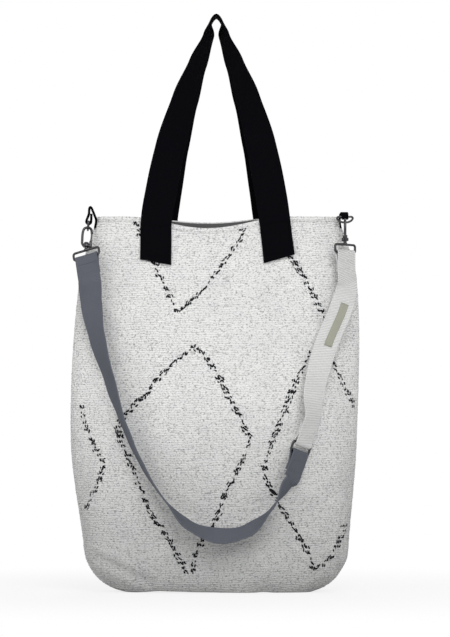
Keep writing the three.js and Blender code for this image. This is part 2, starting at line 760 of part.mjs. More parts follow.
function strapStations({ top, hang, foot }, count) {
  const middle = smoothStations([top.at(-2), top.at(-1), ...hang, foot[0], foot[1]], count);
  return [...top.slice(0, -2), ...middle, ...foot.slice(2)];
}

const greyLine = strapStations(greyStrap(), greySteps);
const whiteLine = strapStations(whiteStrap(), whiteSteps);

// The bare label on the white strap, just proud of its face
function strapLabel() {
  const main = strapStations(whiteStrap(), labelSteps);
  const lift = whiteThickness / 2 + 2 * gap + labelThickness / 2;
  let along = 0;
  const chosen = [];
  for (let i = 1; i < main.length - 1; i += 1) {
    along += main[i].place.distanceTo(main[i - 1].place);
    if (along >= labelStart && along <= labelStart + labelLength) {
      const tangent = main[i + 1].place.clone().sub(main[i - 1].place).normalize();
      const across = main[i].across.clone().addScaledVector(tangent, -main[i].across.dot(tangent)).normalize();
      const normal = across.clone().cross(tangent);
      const face = normal.y < 0 ? 1 : -1;
      chosen.push(station(
        main[i].place.clone().addScaledVector(normal, face * lift).addScaledVector(across, labelShift),
        across,
      ));
    }
  }
  return node('strap_label', ribbon(chosen, labelWidth, labelThickness), labelCloth);
}

// Tabs of black webbing over the side seams, looped round the bars of the D rings
function tabOnSeam(side, height, back) {
  const x = side * (halfWidth(side, height) + gap + tabThickness / 2);
  return station(new THREE.Vector3(x, back, height), acrossY);
}

function roundBar(bar, outward, along, from, to) {
  const reach = ringWire / 2 + gap + tabThickness / 2;
  const stations = [];
  for (let angle = from; angle <= to; angle += 30) {
    const place = bar.clone()
      .addScaledVector(outward, reach * Math.cos(radians(angle)))
      .addScaledVector(up, -reach * Math.sin(radians(angle)));
    stations.push(station(place, along));
  }
  return stations;
}

// A station of a tab, at an offset from its bar, with its width turned from Y towards X
function byBar(bar, x, y, z, turn) {
  const across = new THREE.Vector3(Math.sin(radians(turn)), Math.cos(radians(turn)), 0);
  return station(bar.clone().add(new THREE.Vector3(x, y, z)), across);
}

function tabLeft() {
  const reach = ringWire / 2 + gap + tabThickness / 2;
  const stations = [
    tabOnSeam(-1, bodyHeight - tabSewnFrom, 0), tabOnSeam(-1, bodyHeight - tabSewnTo, 0),
    byBar(leftBar, 7.5, 4, 11, 0), byBar(leftBar, 5, 2.5, 17, 0),
    byBar(leftBar, 1.5, 1, 19, 0), byBar(leftBar, -1.6, 0, 16.5, 0), byBar(leftBar, -reach, 0, 9, 0),
    ...roundBar(leftBar, acrossX.clone().negate(), acrossY, 0, 180),
    byBar(leftBar, reach, 0, 8, 0),
  ];
  return node('tab_left', ribbon(stations, tabWidth, tabThickness), blackWebbing);
}

function tabRight() {
  const reach = ringWire / 2 + gap + tabThickness / 2;
  const stations = [
    tabOnSeam(1, bodyHeight - tabSewnFrom, rightTabBack), tabOnSeam(1, bodyHeight - tabSewnTo, rightTabBack),
    byBar(rightBar, -4.9, 11.9, 3.5, 14), byBar(rightBar, -3.4, 10.8, 7.5, 38),
    byBar(rightBar, -1.8, 8.6, 11, 62), byBar(rightBar, -0.6, 5.2, 13.2, 82),
    byBar(rightBar, 0, 1.2, 13.2, 90), byBar(rightBar, 0, -1.8, 10.5, 90), byBar(rightBar, 0, -reach, 5, 90),
    ...roundBar(rightBar, acrossY.clone().negate(), acrossX, 0, 180),
    byBar(rightBar, 0, reach, 3, 90),
  ];
  return node('tab_right', ribbon(stations, tabWidth, tabThickness), blackWebbing);
}

const bag = new THREE.Group();
bag.name = 'tote_bag';
bag.add(panel('front_panel', -1), panel('back_panel', 1), lining());
bag.add(...fleckLines(-1), ...fleckLines(1));
bag.add(handle('handle_front', -1, 0), handle('handle_back', 1, backHandleInset));
bag.add(tabLeft(), tabRight(), leftRing, rightRing, leftHook, rightHook);
bag.add(node('strap_grey', ribbon(greyLine, strapWidth, greyThickness), greyCloth));
bag.add(node('strap_white', ribbon(whiteLine, strapWidth, whiteThickness), whiteWebbing));
bag.add(buckle(), strapLabel());

export default bag;
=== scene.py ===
# A handwoven wool tote bag with a clip-on shoulder strap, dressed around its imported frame.
# Lengths are in millimetres, as in the part, and become metres where a mesh is made.
import math
import random

import bmesh
import bpy
import numpy as np
from mathutils import Matrix, Vector
from mathutils.bvhtree import BVHTree


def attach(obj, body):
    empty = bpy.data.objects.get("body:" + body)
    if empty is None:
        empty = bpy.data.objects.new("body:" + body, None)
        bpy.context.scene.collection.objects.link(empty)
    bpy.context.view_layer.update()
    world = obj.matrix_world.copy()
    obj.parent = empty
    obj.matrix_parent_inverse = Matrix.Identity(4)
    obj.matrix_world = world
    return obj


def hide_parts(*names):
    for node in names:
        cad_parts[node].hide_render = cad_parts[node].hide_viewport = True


MM = 0.001
random.seed(7)
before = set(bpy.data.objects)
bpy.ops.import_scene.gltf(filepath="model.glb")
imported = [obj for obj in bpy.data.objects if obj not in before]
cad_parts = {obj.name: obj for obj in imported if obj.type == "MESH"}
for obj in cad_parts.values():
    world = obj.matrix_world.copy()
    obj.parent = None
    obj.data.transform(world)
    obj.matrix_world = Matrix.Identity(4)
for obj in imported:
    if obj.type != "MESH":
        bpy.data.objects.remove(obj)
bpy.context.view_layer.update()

# Photograph's frame: one pixel is 1.27 mm on the object, and the origin stands at this pixel
PIXEL = 1.27
IMAGE = (450, 637)
ORIGIN_PIXEL = (214, 591)
CAMERA_DISTANCE = 6500

# Bag body, as in the part
BODY_HEIGHT = 475
CORNER_HEIGHT = 62
BELLY_HEIGHT = 195
SHOULDER_HEIGHT = 395
BASE = {"left": 108, "right": 118, "depth": 38}
CORNER = {"left": 166, "right": 171, "depth": 56}
BELLY = {"left": 182, "right": 181.5, "depth": 58}
SHOULDER = {"left": 171, "right": 181.5, "depth": 37}
RIM = {"left": 148, "right": 158, "depth": 28}
RIM_DIP = {-1: 15, 1: 7}
RIM_DIP_CENTRE = -8
RIM_DIP_HALF_SPAN = 105
BASE_SEAM_SHIFT = 10
SEAM_GAP = 0.3
CLOTH = 3
LINING_SLACK = 1
LINING = 1.4
LINING_BELOW_RIM = 1.2
GAP = 0.3

# Weave
RIB_PITCH = 2.9
RIB_HEIGHT = 0.65
ROWS_PER_RIB = 4
WALL_COLUMNS = 120
CORNER_ROWS = 96
BASE_ROWS = 12
TURN_IN_ROWS = 7
TURN_IN = 9
# How far in and out the folds may move the cloth, and how high up the cloth is darkened by painted shade and
# soiling, in m
FOLD_RANGE = (-2.0, 3.5)
SHADE_AND_SOIL_HEIGHT = 0.25

# Soft folds in the cloth: from x, z to x, z, with a half width and a depth
FOLDS = {
    -1: ((-152, 46, -82, 13, 6, 3.6), (118, 62, 164, 24, 7, 3.0), (-45, 40, 40, 26, 12, 1.8),
         (-150, 330, -168, 130, 15, 2.2), (104, 415, 70, 250, 20, 1.9), (-62, 412, -22, 300, 18, 1.6),
         (150, 380, 168, 210, 14, 1.8)),
    1: ((-140, 52, -95, 16, 7, 3.0), (110, 58, 160, 26, 7, 3.2), (-130, 300, -160, 120, 16, 2.0),
        (90, 410, 50, 240, 20, 2.0), (-70, 410, -30, 280, 18, 1.8)),
}

# Hand straps
HANDLE_WIDTH = 40
HANDLE_THICKNESS = 2.5
HANDLE_TOP = 731
HANDLE_TOP_X = 3
HANDLE_FOOT = {-1: -73.7, 1: 82.7}
HANDLE_RIM = {-1: -73, 1: 76.5}
HANDLE_SEWN = {-1: 53, 1: 52}
HANDLE_SLANT = 0.19
HANDLE_CLEAR = 0.6
HANDLE_BOW = 9
HANDLE_PINCH = 9.5
HANDLE_PINCH_DROP = 26
HANDLE_TOP_GAP = 1.2
BACK_HANDLE_INSET = 7
HANDLE_TURN = 72
HANDLE_STATIONS = 280

# Tabs and D rings
TAB_WIDTH = 9
TAB_THICKNESS = 2.2
PRESSED_TAB = 3.0
TAB_STATIONS = 110
RING_WIRE = 2.8
RING_INSIDE = 17
RING_DROP = 11
BAR = {"left": np.array((-159.0, -5.0, 469.0)), "right": np.array((166.0, -10.5, 475.0))}

# Hooks, eyes and the rectangular ring
HOOK_WIRE = 3.5
HOOK_SIDE = 5.65
HOOK_LENGTH = 23
HOOK_NOSE = 9
COLLAR_RADIUS = 4.4
COLLAR_HEIGHT = 4
STEM_RADIUS = 1.7
# The part's wires have eight sides, and a round one in the same room is this much thinner
WIRE_TRIM = 0.93
STEM_HEAD_RADIUS = 3
STEM_HEAD_HEIGHT = 2
EYE_WIRE = 3
EYE_INSIDE = 31.5
EYE_HEIGHT = 7
EYE_BELOW_HOOK = 31.5
GATE_HALF = 1.6
EAR_THICKNESS = 1.1
EAR_RADIUS = 1.7
BUCKLE_WIRE = 3
BUCKLE_INSIDE = 31.5
BUCKLE_HEIGHT = 9

# Shoulder strap
STRAP_WIDTH = 30
GREY_THICKNESS = 2
WHITE_THICKNESS = 1.8
FOLD_BACK = 26
FOLD_OPEN = 0.6
STAND_OFF = 20
LABEL_WIDTH = 10
LABEL_LENGTH = 62
LABEL_THICKNESS = 0.8
LABEL_SHIFT = 2.5
LABEL_START = 100
# How far along a strap its slanted end reaches, and the length of the ripples in it
SLANT_REACH = 28
RIPPLE_LENGTH = 45
# How much noise stirs a weave, and what the two together run from and to
WEAVE_NOISE = 3.5
WEAVE_RANGE = (-0.6, 4.1)
# Shares of the belly's half width, the body's height and the stand-off, then the direction of the width
GREY_ROUTE = (
    (-0.8516, 0.7705, 1.025, 0.9, -0.4, 0.12), (-0.8132, 0.6842, 1.0, 0.66, -0.72, 0.19),
    (-0.7308, 0.5768, 0.9, 0.42, -0.9, 0.15), (-0.6154, 0.4421, 0.86, 0.2, -0.97, 0.09),
    (-0.489, 0.3368, 0.89, 0.13, -0.99, 0.08), (-0.3516, 0.2547, 0.96, 0.03, -1, 0.02),
    (-0.1648, 0.1811, 1.11, -0.18, -0.92, -0.3), (0.0331, 0.1547, 1.13, 0, -0.78, -0.62),
    (0.2314, 0.1684, 1.12, 0.25, -0.85, -0.4), (0.4077, 0.2295, 1.1, 0.05, -1, 0),
    (0.5124, 0.2947, 1.01, -0.4, -0.9, 0.2),
)
WHITE_ROUTE = (
    (0.9256, 0.8105, 0.83, 0.88, 0.46, 0), (0.8815, 0.7516, 1.055, 0.98, 0.1, -0.2),
    (0.7769, 0.6568, 1.02, 0.94, 0, -0.33), (0.697, 0.5411, 1, 0.88, 0.38, -0.28),
)
RING_PLACE = (0.6006, 0.3853, 0.904)

# Stitches: length, width and height, the step from one to the next, and how far in from a strap's edge
STITCH = (2.6, 0.8, 0.4)
STITCH_STEP = 3.6
STITCH_EDGE = 3.5
# Stitched boxes: where they start along a strap, and their length
HANDLE_SEAM = (6, 40)
STRAP_SEAM = (44, 14)
TOPSTITCH = (3.2, 0.9, 0.45)
TOPSTITCH_SPAN = (-138.0, 150)
TOPSTITCH_STEP = 4.6
TOPSTITCH_DROP = 5.5

# Sides of what is round, and how wide a flat piece's softened edge is
WIRE_SIDES = 18
TURNED_SIDES = 36
PLATE_EDGE = 0.25

# Studio, in metres and watts: each light's name, place, size and power
LIGHTS = (
    ("key", (0.6, -2.5, 1.9), 1.7, 47),
    ("fill", (-1.8, -1.7, 0.9), 2.0, 14),
    ("back", (0.2, 1.9, 1.9), 1.6, 16),
)
LIGHT_AIM = 0.33
WORLD_LIGHT = 0.38
FLOOR_RADIUS = 5
FLOOR_DROP = 0.0006
FLOOR_GREY = 0.86
GLOW_REACH = (0.15, 0.75)
GLOW_NEAR = 0.8


# Body formulas, the same as the part's
def profile(stations, height):
    z, v = np.array(stations, float).T
    h = np.clip(height, z[0], z[-1])
    i = np.clip(np.searchsorted(z, h, side="right") - 1, 0, len(z) - 2)
    before, after = np.maximum(np.arange(len(z)) - 1, 0), np.minimum(np.arange(len(z)) + 1, len(z) - 1)
    slope = (v[after] - v[before]) / (z[after] - z[before])
    span = z[i + 1] - z[i]
    t = (h - z[i]) / span
    ends = (t**3 - 2 * t * t + t) * slope[i] + (t**3 - t * t) * slope[i + 1]
    return v[i] + (v[i + 1] - v[i]) * t * t * (3 - 2 * t) + ends * span


def body_size(side, height, inset):
    height = np.asarray(height, float)
    t = np.clip((CORNER_HEIGHT - height) / (CORNER_HEIGHT - inset), 0, 1)
    low = BASE[side] + (CORNER[side] - BASE[side] - inset) * np.sqrt(1 - t * t)
    heights = (CORNER_HEIGHT, BELLY_HEIGHT, SHOULDER_HEIGHT, BODY_HEIGHT)
    stations = [(h, size[side]) for h, size in zip(heights, (CORNER, BELLY, SHOULDER, RIM))]
    return np.where(height < CORNER_HEIGHT, low, profile(stations, height) - inset)


def half_width(side, height, inset=0):
    return np.where(np.asarray(side) < 0, body_size("left", height, inset), body_size("right", height, inset))


def smoothstep(x, low, high):
    t = np.clip((np.asarray(x, float) - low) / (high - low), 0, 1)
    return t * t * (3 - 2 * t)


def bulge(u, height):
    lens = smoothstep(height, 0, BODY_HEIGHT)
    flatness = 5 + (2.1 - 5) * lens
    roundness = 0.5 + (0.85 - 0.5) * lens
    return np.maximum(1 - np.abs(u) ** flatness, 0) ** roundness


def body_point(face, u, height, inset):
    x = u * half_width(u, height, inset)
    y = face * (SEAM_GAP / 2 + body_size("depth", height, inset) * bulge(u, height))
    return np.stack(np.broadcast_arrays(x, y, np.asarray(height, float)), axis=-1)


def surface_y(face, x, height):
    u = np.clip(np.asarray(x, float) / half_width(x, height), -1, 1)
    return body_point(face, u, height, 0)[..., 1]


def surface_normal(face, x, height):
    step = 1.5
    dx = (surface_y(face, x + step, height) - surface_y(face, x - step, height)) / (2 * step)
    dz = (surface_y(face, x, height + step) - surface_y(face, x, height - step)) / (2 * step)
    n = np.array([-dx, 1.0, -dz]) * face
    return n / np.linalg.norm(n)


def place_on(face, across_share, up_share, lift):
    x = across_share * BELLY["left" if across_share < 0 else "right"]
    height = up_share * BODY_HEIGHT
    return np.array((x, float(surface_y(face, x, height)) + face * lift, height))


def rim_height(face, u):
    x = u * half_width(u, BODY_HEIGHT)
    t = np.clip((x - RIM_DIP_CENTRE) / RIM_DIP_HALF_SPAN, -1, 1)
    return BODY_HEIGHT - RIM_DIP[face] * np.cos(t * math.pi / 2) ** 2


# Smooth random fields, the same on every run
def waves(seed, count, x, z, scale):
    rng = np.random.default_rng(seed)
    total = np.zeros(np.broadcast(x, z).shape)
    for _ in range(count):
        kx, kz = rng.normal(0, 1 / scale, 2)
        total += np.sin(2 * math.pi * (kx * x + kz * z) + rng.uniform(0, 6.28))
    return total / math.sqrt(count)


# Meshes
def make_object(name, points, faces, closed=False):
    mesh = bpy.data.meshes.new(name)
    mesh.from_pydata((np.asarray(points) * MM).tolist(), [], faces)
    mesh.validate()
    if closed:
        work = bmesh.new()
        work.from_mesh(mesh)
        bmesh.ops.recalc_face_normals(work, faces=work.faces)
        work.to_mesh(mesh)
        work.free()
    mesh.polygons.foreach_set("use_smooth", [True] * len(mesh.polygons))
    obj = bpy.data.objects.new(name, mesh)
    bpy.context.scene.collection.objects.link(obj)
    return obj


def grid_faces(rows, cols, flip=False, wrap=False):
    faces = []
    for r in range(rows - 1):
        for c in range(cols if wrap else cols - 1):
            d = (c + 1) % cols
            q = [r * cols + c, r * cols + d, (r + 1) * cols + d, (r + 1) * cols + c]
            faces.append(q[::-1] if flip else q)
    return faces


def dress(obj, body, material, *nodes):
    obj.data.materials.append(MATERIALS[material])
    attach(obj, body)
    if nodes:
        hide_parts(*nodes)
    return obj


# Materials
def put(node, **values):
    """Sets a node's sockets, with _ for each space in their names."""
    for key, value in values.items():
        node.inputs[key.replace("_", " ")].default_value = value
    return node


def shader(name, **values):
    material = bpy.data.materials.new(name)
    material.use_nodes = True
    tree = material.node_tree
    return material, tree, put(tree.nodes["Principled BSDF"], **values)


def mapping(tree, scale):
    """The object's own coordinates, times a scale on each axis."""
    node = put(tree.nodes.new("ShaderNodeMapping"), Scale=scale)
    tree.links.new(tree.nodes.new("ShaderNodeTexCoord").outputs["Object"], node.inputs["Vector"])
    return node.outputs["Vector"]


def noise(tree, scale, detail, roughness=0.5, vector=None):
    node = put(tree.nodes.new("ShaderNodeTexNoise"), Scale=scale, Detail=detail, Roughness=roughness)
    if vector:
        tree.links.new(vector, node.inputs["Vector"])
    return node.outputs["Fac"]


def maths(tree, operation, *values):
    """One step of arithmetic on sockets and plain numbers."""
    node = tree.nodes.new("ShaderNodeMath")
    node.operation = operation
    for socket, value in zip(node.inputs, values):
        if isinstance(value, (int, float)):
            socket.default_value = value
        else:
            tree.links.new(value, socket)
    return node.outputs[0]


def map_range(tree, value, source=(0, 1), target=(0, 1), smooth=False):
    node = tree.nodes.new("ShaderNodeMapRange")
    node.interpolation_type = "SMOOTHSTEP" if smooth else "LINEAR"
    for key, number in zip(("From Min", "From Max", "To Min", "To Max"), (*source, *target)):
        node.inputs[key].default_value = number
    tree.links.new(value, node.inputs["Value"])
    return node.outputs["Result"]


def ramp(tree, value, *stops):
    node = tree.nodes.new("ShaderNodeValToRGB")
    elements = node.color_ramp.elements
    while len(elements) < len(stops):
        elements.new(0.5)
    for element, (place, colour) in zip(elements, stops):
        element.position = place
        element.color = (*colour, 1)
    tree.links.new(value, node.inputs["Fac"])
    return node.outputs["Color"]


def product(tree, colour, *others):
    for other in others:
        node = tree.nodes.new("ShaderNodeMix")
        node.data_type = "RGBA"
        node.blend_type = "MULTIPLY"
        node.inputs[0].default_value = 1.0
        tree.links.new(colour, node.inputs[6])
        tree.links.new(other, node.inputs[7])
        colour = node.outputs[2]
    return colour


def bump(tree, bsdf, height, strength, distance):
    node = put(tree.nodes.new("ShaderNodeBump"), Strength=strength, Distance=distance)
    tree.links.new(height, node.inputs["Height"])
    tree.links.new(node.outputs["Normal"], bsdf.inputs["Normal"])
    return node


def wool(name):
    material, tree, bsdf = shader(name, Roughness=0.95, Specular_IOR_Level=0.1, Sheen_Weight=0.1,
                                  Sheen_Roughness=0.6)
    nubs = noise(tree, 1, 4, 0.65, mapping(tree, (430, 430, 560)))
    fibre = noise(tree, 1, 3, vector=mapping(tree, (900, 900, 1500)))
    base = ramp(tree, nubs, (0.3, (0.24, 0.24, 0.24)), (0.41, (0.64, 0.64, 0.635)),
                (0.5, (0.95, 0.95, 0.945)), (0.7, (1.0, 1.0, 0.99)))
    tint = ramp(tree, noise(tree, 11, 3), (0.35, (0.94, 0.94, 0.945)), (0.65, (1, 1, 0.99)))
    # Painted shade: darker between the ribs and in the stitched line, as the panel's mesh says
    attribute = tree.nodes.new("ShaderNodeAttribute")
    attribute.attribute_name = "painted_hollow_shade"
    painted_shade = ramp(tree, attribute.outputs["Fac"], (0, (1, 1, 1)), (1, (0.6, 0.6, 0.595)))
    # Darker towards the base: painted shade where the body turns under, with some soiling
    coords = tree.nodes.new("ShaderNodeTexCoord")
    split = tree.nodes.new("ShaderNodeSeparateXYZ")
    tree.links.new(coords.outputs["Object"], split.inputs[0])
    rise = map_range(tree, split.outputs["Z"], (0, SHADE_AND_SOIL_HEIGHT))
    painted_shade_and_soil = ramp(tree, rise, (0, (0.62, 0.625, 0.62)), (1, (1, 1, 1)))
    tree.links.new(product(tree, base, tint, painted_shade, painted_shade_and_soil), bsdf.inputs["Base Color"])
    bump(tree, bsdf, maths(tree, "MULTIPLY_ADD", nubs, 1.6, fibre), 0.7, 0.001)
    return material


def yarn(name):
    material, tree, bsdf = shader(name, Roughness=0.95, Specular_IOR_Level=0.08)
    fibre = noise(tree, 900, 3)
    colour = ramp(tree, fibre, (0.35, (0.005, 0.005, 0.007)), (0.75, (0.032, 0.032, 0.038)))
    tree.links.new(colour, bsdf.inputs["Base Color"])
    bump(tree, bsdf, fibre, 0.5, 0.0005)
    return material


def webbing(name, dark, light, along, across, strength, roughness=0.85, twill=0.0, shine=0.2):
    """Woven cloth on a strap, whose UV map runs across it and along it in mm."""
    material, tree, bsdf = shader(name, Roughness=roughness, Specular_IOR_Level=shine)
    uv = tree.nodes.new("ShaderNodeUVMap")
    uv.uv_map = "strap"
    split = tree.nodes.new("ShaderNodeSeparateXYZ")
    tree.links.new(uv.outputs["UV"], split.inputs[0])
    u, v = split.outputs["X"], split.outputs["Y"]
    slant = maths(tree, "MULTIPLY", u, 2 * math.pi / twill if twill else 0)
    rows = maths(tree, "MULTIPLY_ADD", v, 2 * math.pi / along, slant)
    columns = maths(tree, "MULTIPLY", u, 2 * math.pi / across)
    rows, columns = (maths(tree, "SINE", value) for value in (rows, columns))
    weave = maths(tree, "MULTIPLY_ADD", columns, 0.5, rows)
    weave = maths(tree, "MULTIPLY_ADD", noise(tree, 420, 5, 0.7), WEAVE_NOISE, weave)
    colour = ramp(tree, map_range(tree, weave, WEAVE_RANGE), (0.15, dark), (0.8, light))
    tree.links.new(colour, bsdf.inputs["Base Color"])
    bump(tree, bsdf, weave, strength, 0.0004)
    return material


def plain_cloth(name, dark, light, scale):
    material, tree, bsdf = shader(name, Roughness=0.92)
    weave = noise(tree, scale, 4)
    tree.links.new(ramp(tree, weave, (0.3, dark), (0.7, light)), bsdf.inputs["Base Color"])
    bump(tree, bsdf, weave, 0.3, 0.0004)
    return material


def plated(name):
    material, tree, bsdf = shader(name, Roughness=0.28, Metallic=1.0)
    wear = noise(tree, 260, 5)
    colour = ramp(tree, wear, (0.3, (0.03, 0.03, 0.032)), (0.7, (0.085, 0.085, 0.09)))
    tree.links.new(colour, bsdf.inputs["Base Color"])
    tree.links.new(map_range(tree, wear, target=(0.18, 0.4)), bsdf.inputs["Roughness"])
    # Rounds the edges of the cast pieces where they catch the light
    edge = put(tree.nodes.new("ShaderNodeBevel"), Radius=0.0004)
    edge.samples = 4
    tree.links.new(edge.outputs[0], bump(tree, bsdf, wear, 0.08, 0.0002).inputs["Normal"])
    return material


MATERIALS = {
    "wool": wool("wool cloth"),
    "yarn": yarn("black yarn"),
    "lining": plain_cloth("lining cloth", (0.07, 0.07, 0.072), (0.13, 0.13, 0.132), 900),
    "black": webbing("black webbing", (0.0006, 0.0006, 0.001), (0.0045, 0.0045, 0.0065), 1.6, 1.3, 0.5, 0.9,
                     twill=2.6, shine=0.03),
    "grey": webbing("grey canvas", (0.07, 0.076, 0.094), (0.165, 0.176, 0.208), 1.3, 1.3, 0.5, 0.9),
    "white": webbing("white webbing", (0.52, 0.52, 0.515), (0.98, 0.98, 0.97), 2.2, 1.6, 0.7, twill=8.0),
    "label": webbing("label tape", (0.27, 0.272, 0.225), (0.43, 0.435, 0.36), 0.8, 0.8, 0.3, 0.9),
    "metal": plated("dark nickel"),
}


# Cloth panels
def from_line(x, z, fold):
    """How far x, z is from the line of a fold."""
    x0, z0, x1, z1 = fold[:4]
    span = (x1 - x0) ** 2 + (z1 - z0) ** 2
    t = np.clip(((x - x0) * (x1 - x0) + (z - z0) * (z1 - z0)) / span, 0, 1)
    return np.hypot(x - x0 - t * (x1 - x0), z - z0 - t * (z1 - z0))


def wall_lift(face, u, points, rim):
    """How far the cloth stands out of the body's form: soft waves, folds, ribs, nubs and the sewn rim."""
    x, z = points[..., 0], points[..., 2]
    free = np.minimum(1, bulge(u, z) * 3) * smoothstep(rim - z, 4, 70)
    soft = waves(3 if face < 0 else 4, 9, x, z, 150) * 1.2 + waves(5, 9, x, z, 60) * 0.4
    for fold in FOLDS[face]:
        off = from_line(x, z, fold) / fold[4]
        soft = soft + fold[5] * (0.5 * np.exp(-((off - 1.7) ** 2)) - 0.55 * np.exp(-(off**2)))
    soft = np.clip(soft, *FOLD_RANGE)
    wobble = waves(11, 12, x, z, 45) * 0.5 + waves(12, 14, x, z * 0.2, 16) * 0.32
    rib = np.abs(np.cos((z + wobble) / RIB_PITCH * math.pi)) ** 0.75
    uneven = 1 + 0.3 * waves(13, 16, x, z * 1.6, 9)
    nub = np.random.default_rng(21 if face < 0 else 22).normal(0, 0.17, x.shape)
    stitch = np.exp(-(((rim - z) - TOPSTITCH_DROP) / 1.3) ** 2)
    under = smoothstep(z, 1, 8)
    soft = np.where(z > SHOULDER_HEIGHT, np.minimum(soft * free, 0.5), soft * free)
    return soft + (RIB_HEIGHT * (rib * uneven - 1) + nub) * under - 0.7 * stitch, rib, stitch


def moved_out(points, lift, face):
    """Moves a grid of points along its own normals, out of the bag."""
    n = np.cross(np.gradient(points, axis=1), np.gradient(points, axis=0)) * -face
    n /= np.maximum(np.linalg.norm(n, axis=-1, keepdims=True), 1e-9)
    return points + n * lift[..., None]


def row_heights(inset, top, corner_rows, wall_rows):
    """Rows up the body, evenly round its lower corner and then evenly up to top."""
    turn = np.cos(np.arange(corner_rows) / corner_rows * math.pi / 2)
    corner = CORNER_HEIGHT - (CORNER_HEIGHT - inset) * turn
    share = np.arange(wall_rows + 1) / wall_rows
    wall = CORNER_HEIGHT + (top[None, :] - CORNER_HEIGHT) * share[:, None]
    return np.concatenate([np.repeat(corner[:, None], len(top), axis=1), wall])


CLOTH_TREES = {}


def panel(name, face, node):
    u = np.sin((np.arange(WALL_COLUMNS + 1) / WALL_COLUMNS - 0.5) * math.pi)
    rim = rim_height(face, u)
    wall_rows = int((BODY_HEIGHT - CORNER_HEIGHT) / RIB_PITCH) * ROWS_PER_RIB
    height = row_heights(0, rim, CORNER_ROWS, wall_rows)
    points = body_point(face, np.broadcast_to(u, height.shape), height, 0)
    lift, rib, stitch = wall_lift(face, u, points, rim)
    wall = moved_out(points, lift, face)
    wall[:, 0, 1] = wall[:, -1, 1] = face * SEAM_GAP / 2
    foot = wall[0]
    seam = BASE_SEAM_SHIFT * (1 - u * u) + face * SEAM_GAP / 2
    base = []
    for r in range(BASE_ROWS):
        row = foot.copy()
        row[:, 1] = seam + (foot[:, 1] - seam) * r / BASE_ROWS
        base.append(row)
    inner = [body_point(face, u, rim + 0.4, 1.0), body_point(face, u, rim + 0.3, 2.2)]
    inner += [body_point(face, u, rim - 1 - TURN_IN * t, CLOTH) for t in np.linspace(0, 1, TURN_IN_ROWS)]
    grid = np.concatenate([base, wall, inner])
    grid[:, :, 2] = np.maximum(grid[:, :, 2], 0)
    # Painted shade for the cloth's colour: in the hollows between the ribs, in the stitched line, on the base
    # under the bag and on the turned-in rim
    painted_hollow_shade = np.clip((1 - rib) * 0.8 + stitch * 0.5, 0, 1)
    painted_shade = np.concatenate([np.full((BASE_ROWS, len(u)), 0.4), painted_hollow_shade, np.full((len(inner), len(u)), 0.15)])
    faces = grid_faces(len(grid), len(u), flip=face > 0)
    CLOTH_TREES[face] = BVHTree.FromPolygons(grid.reshape(-1, 3).tolist(), faces)
    obj = make_object(name, grid.reshape(-1, 3), faces)
    obj.data.attributes.new("painted_hollow_shade", "FLOAT", "POINT").data.foreach_set("value", painted_shade.ravel())
    return dress(obj, "bag", "wool", node)


def on_cloth(face, x, z):
    """The place on the woven face at x and z."""
    x = float(np.clip(x, -0.985 * half_width(-1, z), 0.985 * half_width(1, z)))
    hit = CLOTH_TREES[face].ray_cast(Vector((x, face * 300, z)), Vector((0, -face, 0)))[0]
    return np.array(hit) if hit else np.array((x, float(surface_y(face, x, z)), z))


def lining_cup():
    columns = 120
    angle = np.arange(columns) / columns * 2 * math.pi
    u = np.cos(angle)
    face = np.where(np.sin(angle) < 0, -1, 1)
    top = np.where(face < 0, rim_height(-1, u), rim_height(1, u)) - LINING_BELOW_RIM
    outer = CLOTH + LINING_SLACK
    rings = []
    for inset, order in ((outer, 1), (outer + LINING, -1)):
        for height in row_heights(inset, top, 16, 70)[::order]:
            front, back = (body_point(half, u, height, inset) for half in (-1, 1))
            p = np.where((face < 0)[:, None], front, back)
            p[:, 1] -= face * SEAM_GAP / 2
            fold = np.abs(waves(31, 8, u * 170, height, 70)) * 1.1 * smoothstep(top - height, 3, 40)
            p[:, 1] -= np.sign(p[:, 1]) * fold * np.clip(np.abs(p[:, 1]) / 20, 0, 1)
            rings.append(p)
    points = np.concatenate([*rings, [[0, 0, outer], [0, 0, outer + LINING]]])
    count = len(points) - 2
    faces = grid_faces(len(rings), columns, wrap=True)
    last = (len(rings) - 1) * columns
    for c in range(columns):
        d = (c + 1) % columns
        faces += [[count, d, c], [count + 1, last + c, last + d]]
    return dress(make_object("lining_cloth", points, faces, closed=True), "bag", "lining", "lining")


# The diamond pattern: tufts of black yarn along lines in the photograph's pixels, with None at a gap
LINES = {
    "upper_line": [
        (135, 222), (146, 246), (156, 266), (166, 289), (177, 311), (187, 305), (203, 290), (221, 266),
        (240, 240), (243, 230), None, (285, 250), (292.5, 260), (307, 284), (323, 315), (335, 368),
        (347, 392), (354, 408),
    ],
    "diamond_left_line": [
        (193, 345), (175, 362), (162, 374), (148, 392), (136, 402), (118, 424), (124, 447), (132, 463),
        (140, 483), (150, 508), (160, 524), (171, 540), (181, 561), (188, 574),
    ],
    "diamond_right_line": [
        (193, 345), (203, 353), (215, 370), (227, 394), (238, 410), (246, 431), (250, 435), (244, 455),
        (232, 479), (223, 496), (213, 524), (199, 544), (195, 554), (192, 572),
    ],
    "right_line": [
        (312, 350), (305, 362), (294, 384), (286, 406), (274, 435), (264, 463), (266, 479), (284, 512),
        (297, 532), (307, 552), (313, 567), (325, 561), (335, 548), (345, 524),
    ],
    "left_line": [
        (82, 406), (87, 427), (97, 449), (105, 463), (99, 481), (93, 492), (87, 508),
    ],
}
TUFT_SIDES, TUFT_RINGS = 7, 5
FLECK_STEP, FLECK_SPREAD = 5.0, 2.3


class Shape:
    """Points and faces of several closed pieces that go into one mesh."""

    def __init__(self):
        self.points, self.faces = [], []

    def add(self, points, faces):
        start = len(self.points)
        self.points += [np.asarray(p, float) for p in points]
        self.faces += [[start + k for k in face] for face in faces]

    def placed(self, origin, axes):
        self.points = [origin + axes @ p for p in self.points]
        return self


def capped(rows, cols):
    """Faces of a tube of rows of cols points, with both ends closed."""
    faces = grid_faces(rows, cols, wrap=True)
    return faces + [list(range(cols))[::-1], [(rows - 1) * cols + k for k in range(cols)]]


